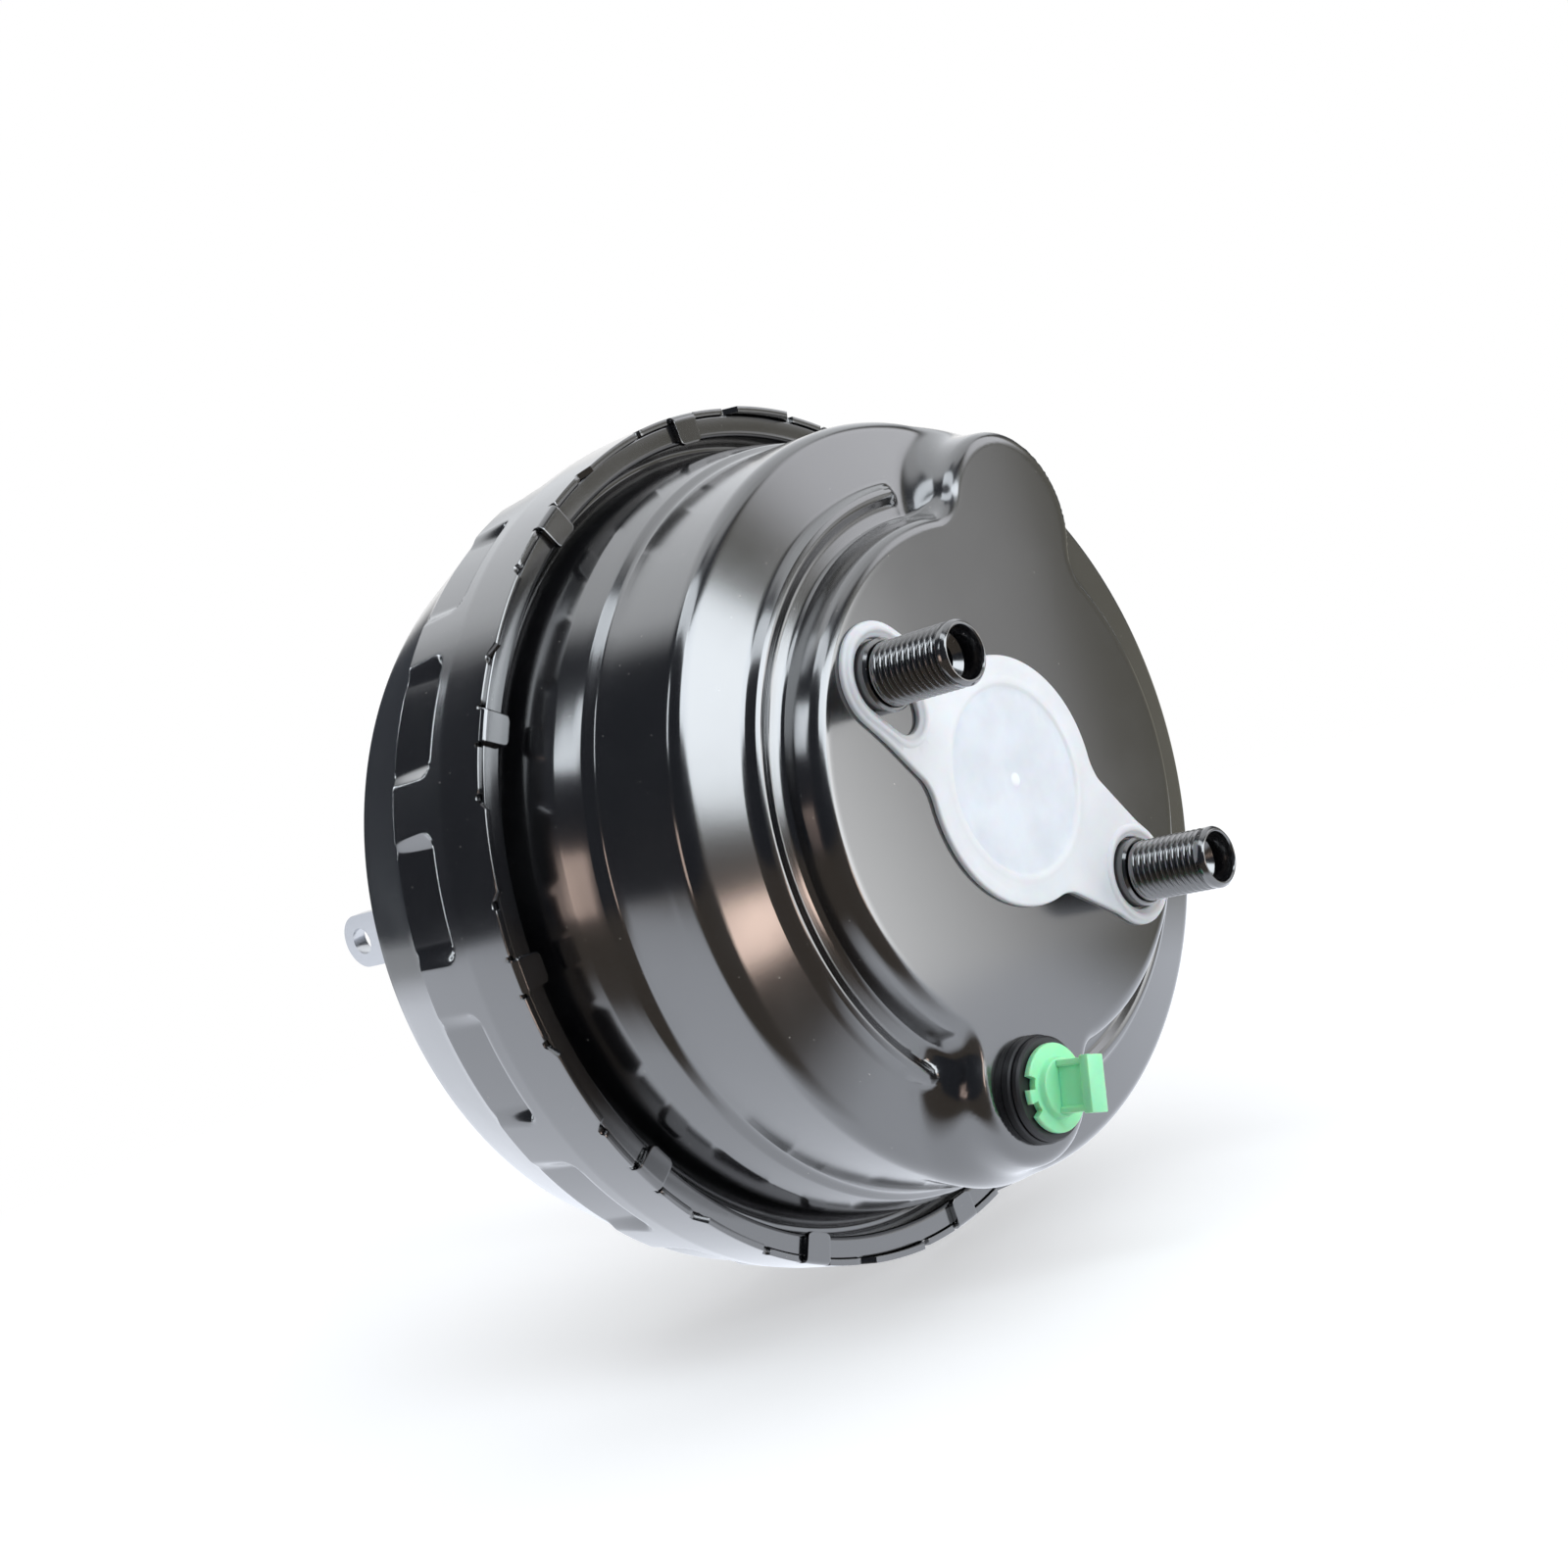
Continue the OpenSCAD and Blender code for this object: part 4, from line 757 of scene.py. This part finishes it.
def eye_field(p, eye, grow=0.0):
    """Distance to an eye's hole grown by some width: the upper one is long, the lower one is round."""
    centre = turn_at(TUBE_CLOCKS[eye]) * TUBE_AT
    if eye == ROUND_EYE:
        return from_middle(p - centre) - EYE_R - grow
    far_end = centre + turn_at(EYE_CLOCK) * EYE_SLIDE
    return taper_bar(p, centre, EYE_R + grow, far_end, EYE_END_R + grow)


def cover_field(p):
    """Distance to the outline of the cover, negative inside it."""
    body = from_middle(p) - DISC_R
    for eye, clock in enumerate(TUBE_CLOCKS):
        way = turn_at(clock)
        arm = taper_bar(p, way * ARM_START, ARM_R, way * TUBE_AT, EYE_R + EYE_RIM - ARM_INSET)
        body = round_union(body, soft_min(arm, eye_field(p, eye, EYE_RIM), EYE_BLEND), ARM_FILLET)
    return body


def loop_at(field, level, centre, count, reach):
    """Closed line where a flat field has a level, found along rays from a centre."""
    rays = np.stack([turn_at(clock) for clock in np.arange(count) * 360.0 / count])
    low, high = np.zeros(count), np.full(count, reach)
    for _ in range(30):
        middle = (low + high) / 2
        within = field(centre + rays * middle[:, None]) < level
        low, high = np.where(within, middle, low), np.where(within, high, middle)
    return centre + rays * low[:, None]


def cover_height(p):
    """Height of the cover's front side over its back."""
    recess_step, ridge_rise, ridge_fall, gate_rise = 1.2, 1.0, 1.4, 0.9
    eye_start, eye_rise, eye_end, eye_fall = 0.9, 1.0, 3.9, 0.9
    radius = from_middle(p)
    height = COVER_T - RECESS_DEPTH * smooth_step((RECESS_R + recess_step / 2 - radius) / recess_step)
    on_ridge = smooth_step((radius - RECESS_R) / ridge_rise)
    height += RIDGE_HEIGHT * on_ridge * smooth_step((RIDGE_R - radius) / ridge_fall)
    height += GATE_HEIGHT * smooth_step((GATE_R - radius) / gate_rise)
    edge = -cover_field(p)
    for eye in (LONG_EYE, ROUND_EYE):
        off = eye_field(p, eye)
        edge = np.minimum(edge, off)
        on_rim = smooth_step((off - eye_start) / eye_rise)
        height += EYE_HEIGHT * on_rim * smooth_step((eye_end - off) / eye_fall)
    in_edge = np.maximum(COVER_EDGE - edge, 0.0)
    return height - COVER_EDGE + np.sqrt(np.maximum(COVER_EDGE ** 2 - in_edge ** 2, 0.0))


def cover_loops():
    """Lines that the cover's mesh follows: its outline, both eyes and the steps of the disc."""
    middle, insets = np.zeros(2), (0.0, 0.08, 0.3, COVER_EDGE)
    loops = [loop_at(cover_field, -inset, middle, count=420, reach=90.0) for inset in insets]
    eye_middles = [turn_at(clock) * TUBE_AT for clock in TUBE_CLOCKS]
    eye_middles[LONG_EYE] = eye_middles[LONG_EYE] + turn_at(EYE_CLOCK) * EYE_SLIDE / 4
    for eye, eye_middle in enumerate(eye_middles):
        for grow in (0.0, 0.08, 0.3, 0.9, 1.4, 1.9, 3.0, 3.4, 3.75):
            loops.append(loop_at(lambda p, eye=eye: eye_field(p, eye), grow, eye_middle,
                                 count=150, reach=30.0))
    for radius in (1.3, 1.75, GATE_R):
        loops.append(loop_at(from_middle, radius, middle, count=24, reach=40.0))
    for radius in (26.4, RECESS_R, 27.5, 28.0, 28.8, 29.5, RIDGE_R):
        loops.append(loop_at(from_middle, radius, middle, count=160, reach=40.0))
    return loops


def bore_cover(material):
    """Plastic cover: a thin disc with a ridge, and two eyes with raised rims."""
    loops = cover_loops()
    on_loops = np.vstack(loops)
    edges, count = [], 0
    for loop in loops:
        edges += [(count + step, count + (step + 1) % len(loop)) for step in range(len(loop))]
        count += len(loop)
    reach, spacing, least_gap = 75.0, 2.6, 1.2
    spread = np.arange(-reach, reach, spacing)
    fill = np.stack(np.meshgrid(spread, spread), axis=-1).reshape(-1, 2)
    fill = [p for p in fill if np.min(from_middle(on_loops - p)) > least_gap]
    flat = [Vector(p) for p in np.vstack((on_loops, fill))]
    flat, _, faces, _, _, _ = delaunay_2d_cdt(flat, edges, [], 0, 1e-4)
    flat = np.array([tuple(p) for p in flat])
    faces = np.array([tuple(face) for face in faces])
    heart = flat[faces].mean(axis=1)
    inside = (cover_field(heart) < 0) & (eye_field(heart, LONG_EYE) > 0) & (eye_field(heart, ROUND_EYE) > 0)
    flat, faces = used_only(flat, faces[inside])

    front = np.column_stack((COVER_X + cover_height(flat), flat))
    back = np.column_stack((np.full(len(flat), COVER_X), flat))
    pairs = np.vstack((faces[:, (0, 1)], faces[:, (1, 2)], faces[:, (2, 0)])).tolist()
    known = {tuple(pair) for pair in pairs}
    rim = np.array([pair for pair in pairs if (pair[1], pair[0]) not in known])
    walls = np.column_stack((rim[:, 1], rim[:, 0], rim[:, 0] + len(flat), rim[:, 1] + len(flat)))
    every = faces.tolist() + (faces[:, ::-1] + len(flat)).tolist() + walls.tolist()
    return joined_object("bore_cover_skin", np.vstack((front, back)), every, material, sharp=50.0)


# Plug

def box(shape, station, length, width, height):
    """Adds a box that is centred on the axis at a station."""
    size = Matrix.Diagonal((length, width, height, 1))
    bmesh.ops.create_cube(shape, size=1.0, matrix=Matrix.Translation((station, 0, 0)) @ size)


def pull_tab():
    """Pull tab with a recess in each side and a thicker end, as points and faces."""
    shape = bmesh.new()
    box(shape, PLUG_X + 1.5 + PULL_LENGTH / 2, PULL_LENGTH + 1.0, PULL_WIDTH, PULL_HEIGHT)
    sides = [face for face in shape.faces if abs(face.normal.y) > 0.9]
    bmesh.ops.inset_individual(shape, faces=sides, thickness=2.4, depth=0.0)
    bmesh.ops.inset_individual(shape, faces=sides, thickness=0.15, depth=-PULL_RECESS)
    box(shape, PLUG_X + 1.0 + PULL_LENGTH, PULL_END_T, PULL_WIDTH + PULL_END_LIP,
        PULL_HEIGHT + PULL_END_LIP)
    bmesh.ops.bevel(shape, geom=shape.edges[:], offset=0.35, segments=2, affect="EDGES", profile=0.5,
                    clamp_overlap=True)
    points = np.array([tuple(vertex.co) for vertex in shape.verts])
    faces = [[vertex.index for vertex in face.verts] for face in shape.faces]
    shape.free()
    turn = math.radians(PULL_TURN)
    y, z = points[:, 1].copy(), points[:, 2].copy()
    points[:, 1] = y * math.cos(turn) - z * math.sin(turn)
    points[:, 2] = y * math.sin(turn) + z * math.cos(turn)
    return points, faces


def vacuum_plug(material):
    """Plug of the vacuum port: hollow stem, notched flange, boss and pull tab."""
    front, hole_end, cell, notch_edge = PLUG_X + PLUG_T, PLUG_X - 1.0, 5.0, 0.25
    outline = [(0.0, hole_end, 0), (STEM_HOLE_R, hole_end, 0.6), (STEM_HOLE_R, STEM_X, 0.5),
               (STEM_R, STEM_X, 0.6), (STEM_R, PLUG_X, 0), (PLUG_R, PLUG_X, 0.4), (PLUG_R, front, 0.5),
               (BOSS_R, front, 0.6), (BOSS_R - 0.4, front + BOSS_T, 0.6), (0.0, front + BOSS_T, 0)]
    line = rounded(outline, arc_step=22.0)
    clock = list(np.arange(0.0, 360.0, cell))
    for notch in NOTCHES:
        clock = [value for value in clock if abs(value - notch) > NOTCH_HALF + 1.0]
        for side in (-1, 1):
            clock += [notch + side * NOTCH_HALF, notch + side * (NOTCH_HALF - notch_edge)]
        clock += [notch - NOTCH_CELL, notch, notch + NOTCH_CELL]
    clock = np.sort(clock)
    is_notch = np.min([np.abs(clock - notch) for notch in NOTCHES], axis=0) < NOTCH_HALF - 0.1
    radius = np.repeat(line[:, 0][:, None], len(clock), axis=1)
    radius = np.where(is_notch[None, :], np.minimum(radius, PLUG_R - NOTCH_DEPTH), radius)
    points = polar(radius, line[:, 1][:, None], clock[None, :]).reshape(-1, 3)
    faces = grid_faces(len(line), len(clock)).tolist()
    tab_points, tab_faces = pull_tab()
    faces += [[index + len(points) for index in face] for face in tab_faces]
    points = np.vstack((points, tab_points))
    points[:, 1:] += turn_at(PORT_CLOCK) * PORT_AT
    return joined_object("vacuum_plug_skin", points, faces, material, sharp=40.0)


# Studio, in metres

# What lamps and cards face: the object's middle, the camera's image in the flat face, and two spots
MIDDLE = Vector((0.09, 0.0, 0.0))
CAMERA_IN_FACE = Vector((-0.226, -0.498, 0.065))
DRUM_SPOT = Vector((0.109, -0.114, 0.016))
CONE_SPOT = Vector((0.151, -0.097, -0.007))
COOL, WARM = (0.88, 0.94, 1.0), (1.0, 0.76, 0.65)
WALLS, SHADE, GREY = (0.045, 0.05, 0.06), (0.26, 0.25, 0.21), (0.7, 0.7, 0.7)
WHITE = (1.0, 1.0, 1.0, 1.0)

# Lighter patches of the room: degrees to the side and up, cosines where they begin and are full, colour
ROOM_PATCHES = (
    (100, 20, 0.6, 0.95, SHADE),
    (100, 80, 0.88, 0.97, (0.95, 0.97, 1.0)),
    (104, 44, 0.93, 0.985, (1.6, 1.62, 1.7)),
    (-150, 56, 0.72, 0.84, (1.05, 1.08, 1.12)),
    (180, 10, 0.93, 0.97, (1.0, 1.0, 1.0)),
)

# Lamps: name, what they face, degrees to the side and up, distance, size, radiance, colour, roll
LAMPS = (
    ("window", MIDDLE, 43, 34, 4.0, (4.0, 1.5), 4.4, COOL, -18),
    ("sky", MIDDLE, -30, 58, 4.0, (4.4, 1.1), 2.8, COOL, 0),
    ("edge_strip", MIDDLE, -120, 2, 2.0, (0.11, 1.2), 6.5, COOL, 0),
    ("cool_card", DRUM_SPOT, -70, 24, 2.0, (0.28, 0.62), 3.6, COOL, 0),
    ("warm_card", DRUM_SPOT, -67, -12, 1.2, (0.28, 0.34), 1.9, WARM, 0),
    ("warm_lamp", CONE_SPOT, 66, 6, 0.5, (0.05, 0.06), 5.4, WARM, 0),
)


def seen_from(side, height):
    """World direction at degrees to the right of the camera and degrees up, as seen from the object."""
    side, height = math.radians(side), math.radians(height)
    level = CAMERA_RIGHT * math.sin(side) + CAMERA_BACK * math.cos(side)
    return level * math.cos(height) + CAMERA_UP * math.sin(height)


def turned_to(origin, place):
    """Place and turn of a lamp or card that faces the origin, upright in the camera's view."""
    back = (place - origin).normalized()
    side = CAMERA_UP.cross(back).normalized()
    turn = Matrix((side, back.cross(side), back)).transposed().to_4x4()
    return Matrix.Translation(place) @ turn


def softbox(name, origin, side, height, distance, size, radiance, color, roll):
    """Rectangular lamp turned to the origin, with its radiance given."""
    light = bpy.data.lights.new(name, "AREA")
    light.shape = "RECTANGLE"
    light.size, light.size_y = size
    light.energy = radiance * math.pi * size[0] * size[1]
    light.color = color
    thing = bpy.data.objects.new(name, light)
    bpy.context.scene.collection.objects.link(thing)
    place = origin + seen_from(side, height) * distance
    thing.matrix_world = turned_to(origin, place) @ Matrix.Rotation(math.radians(roll), 4, "Z")


def facing(tree, place, direction, low, high):
    """0 to 1 as a world direction turns towards the given one."""
    values = {"Value": along(tree, place, direction), "From Min": low, "From Max": high}
    step = node(tree, "ShaderNodeMapRange", values, interpolation_type="SMOOTHSTEP")
    return step.outputs["Result"]


def mix_shader(tree, share, first, second):
    return node(tree, "ShaderNodeMixShader", {0: share, 1: first, 2: second}).outputs[0]


def emission(tree, color):
    return node(tree, "ShaderNodeEmission", {"Color": color, "Strength": 1.0}).outputs[0]


def add_world():
    """Dim room with pale walls and ceiling for the reflections, plain white to the camera."""
    world = bpy.data.worlds.new("studio")
    bpy.context.scene.world = world
    world.use_nodes = True
    tree = world.node_tree
    tree.nodes.clear()
    place = node(tree, "ShaderNodeTexCoord").outputs["Generated"]
    walls = WALLS
    for side, height, low, high, color in ROOM_PATCHES:
        walls = blend_color(tree, facing(tree, place, seen_from(side, height), low, high), walls, color)
    to_camera = node(tree, "ShaderNodeLightPath").outputs["Is Camera Ray"]
    room = node(tree, "ShaderNodeBackground", {"Color": walls, "Strength": 1.0}).outputs[0]
    white = node(tree, "ShaderNodeBackground", {"Color": WHITE, "Strength": 1.0}).outputs[0]
    out = node(tree, "ShaderNodeOutputWorld")
    tree.links.new(mix_shader(tree, to_camera, room, white), out.inputs["Surface"])


def flat_card(name, half_x, half_y, z, material):
    """Rectangle of the studio, level at z."""
    mesh = bpy.data.meshes.new(name)
    corners = [(-half_x, -half_y, z), (half_x, -half_y, z), (half_x, half_y, z), (-half_x, half_y, z)]
    mesh.from_pydata(corners, [], [(0, 1, 2, 3)])
    mesh.materials.append(material)
    card = bpy.data.objects.new(name, mesh)
    bpy.context.scene.collection.objects.link(card)
    return card


def add_floor():
    """White table top, which the camera sees as white but for the object's shadow."""
    floor_z, half = cad_box[0][2] - 0.0005, 5.0
    material, tree, shader = new_material("floor_white")
    set_sockets(shader, {"Base Color": (0.75, 0.75, 0.75, 1.0), "Roughness": 0.8,
                         "Specular IOR Level": 0.0})
    path = node(tree, "ShaderNodeLightPath")
    place = tree.nodes["place"].outputs["Object"]
    to_camera = Vector((CAMERA_BACK.x, CAMERA_BACK.y, 0.0)).normalized()
    nearer = along(tree, place, to_camera)
    beside = along(tree, place, to_camera.cross(Vector((0.0, 0.0, -1.0))))
    table, far_table, edge = (1.05, 1.1, 1.2), (0.45, 0.47, 0.5), (0.14, 0.12, 0.1)
    glow = blend_color(tree, ramp(tree, nearer, -0.5, -1.0), table, far_table)
    glow = blend_color(tree, ramp(tree, nearer, 0.2, 0.27), glow, edge)
    shaded = {0: ramp(tree, beside, 0.3, 0.45), 1: ramp(tree, nearer, 0.07, 0.03)}
    shaded = node(tree, "ShaderNodeMath", shaded, operation="MULTIPLY").outputs[0]
    glow = blend_color(tree, shaded, glow, SHADE)
    from_object = {0: place, 1: (MIDDLE.x, MIDDLE.y, floor_z)}
    away = node(tree, "ShaderNodeVectorMath", from_object, operation="DISTANCE").outputs["Value"]
    lit = {0: shader.outputs[0], 1: emission(tree, (0.45, 0.45, 0.45, 1.0))}
    lit = node(tree, "ShaderNodeAddShader", lit).outputs[0]
    seen = mix_shader(tree, ramp(tree, away, 0.3, 0.9), lit, emission(tree, WHITE))
    mixed = mix_shader(tree, path.outputs["Is Camera Ray"], shader.outputs[0], seen)
    mixed = mix_shader(tree, path.outputs["Is Glossy Ray"], mixed, emission(tree, glow))
    tree.links.new(mixed, tree.nodes["Material Output"].inputs["Surface"])
    floor = flat_card("floor", half, half, floor_z, material)


def add_side_card():
    """Glowing card that the flat face mirrors, dimmer along a slanted line."""
    half_width, half_height = 0.165, 0.145
    side, height, distance = 92, 15, 1.1
    bright, slant = (3.5, 3.55, 3.6), (0.98, 0.2, 0.0)
    material, tree, _ = new_material("side_card")
    across = along(tree, tree.nodes["place"].outputs["Object"], slant)
    color = blend_color(tree, ramp(tree, across, -0.06, 0.11), bright, GREY)
    tree.links.new(emission(tree, color), tree.nodes["Material Output"].inputs["Surface"])
    card = flat_card("side_card", half_width, half_height, 0.0, material)
    card.matrix_world = turned_to(CAMERA_IN_FACE, CAMERA_IN_FACE + seen_from(side, height) * distance)
    card.visible_camera = False


def add_studio():
    bpy.context.scene.view_settings.view_transform = "Standard"
    add_world()
    add_floor()
    for lamp in LAMPS:
        softbox(*lamp)
    add_side_card()


# Assembly

def ride_on(piece, body, replaced):
    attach(piece, body)
    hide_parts(replaced)


def soft_copy(name, body):
    """Copy of a soft CAD piece, riding on a body in place of the CAD piece."""
    piece = bpy.data.objects.new(name + "_soft", frame["nodes"][name].data.copy())
    bpy.context.scene.collection.objects.link(piece)
    ride_on(piece, body, name)
    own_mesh(piece)


add_camera()
looks = dress_nodes()
ride_on(front_shell(looks["shell_black"]), "housing", "front_shell")
ride_on(rear_shell(looks["shell_black"]), "housing", "rear_shell")
ride_on(threaded_tubes(looks["tube_steel"]), "housing", "through_tubes")
ride_on(bore_cover(looks["cover_plastic"]), "cover", "bore_cover")
ride_on(vacuum_plug(looks["plug_plastic"]), "plug", "vacuum_plug")
soft_copy("boot", "housing")
soft_copy("return_spring", "housing")
soft_copy("rod_return_spring", "power_piston")
add_studio()
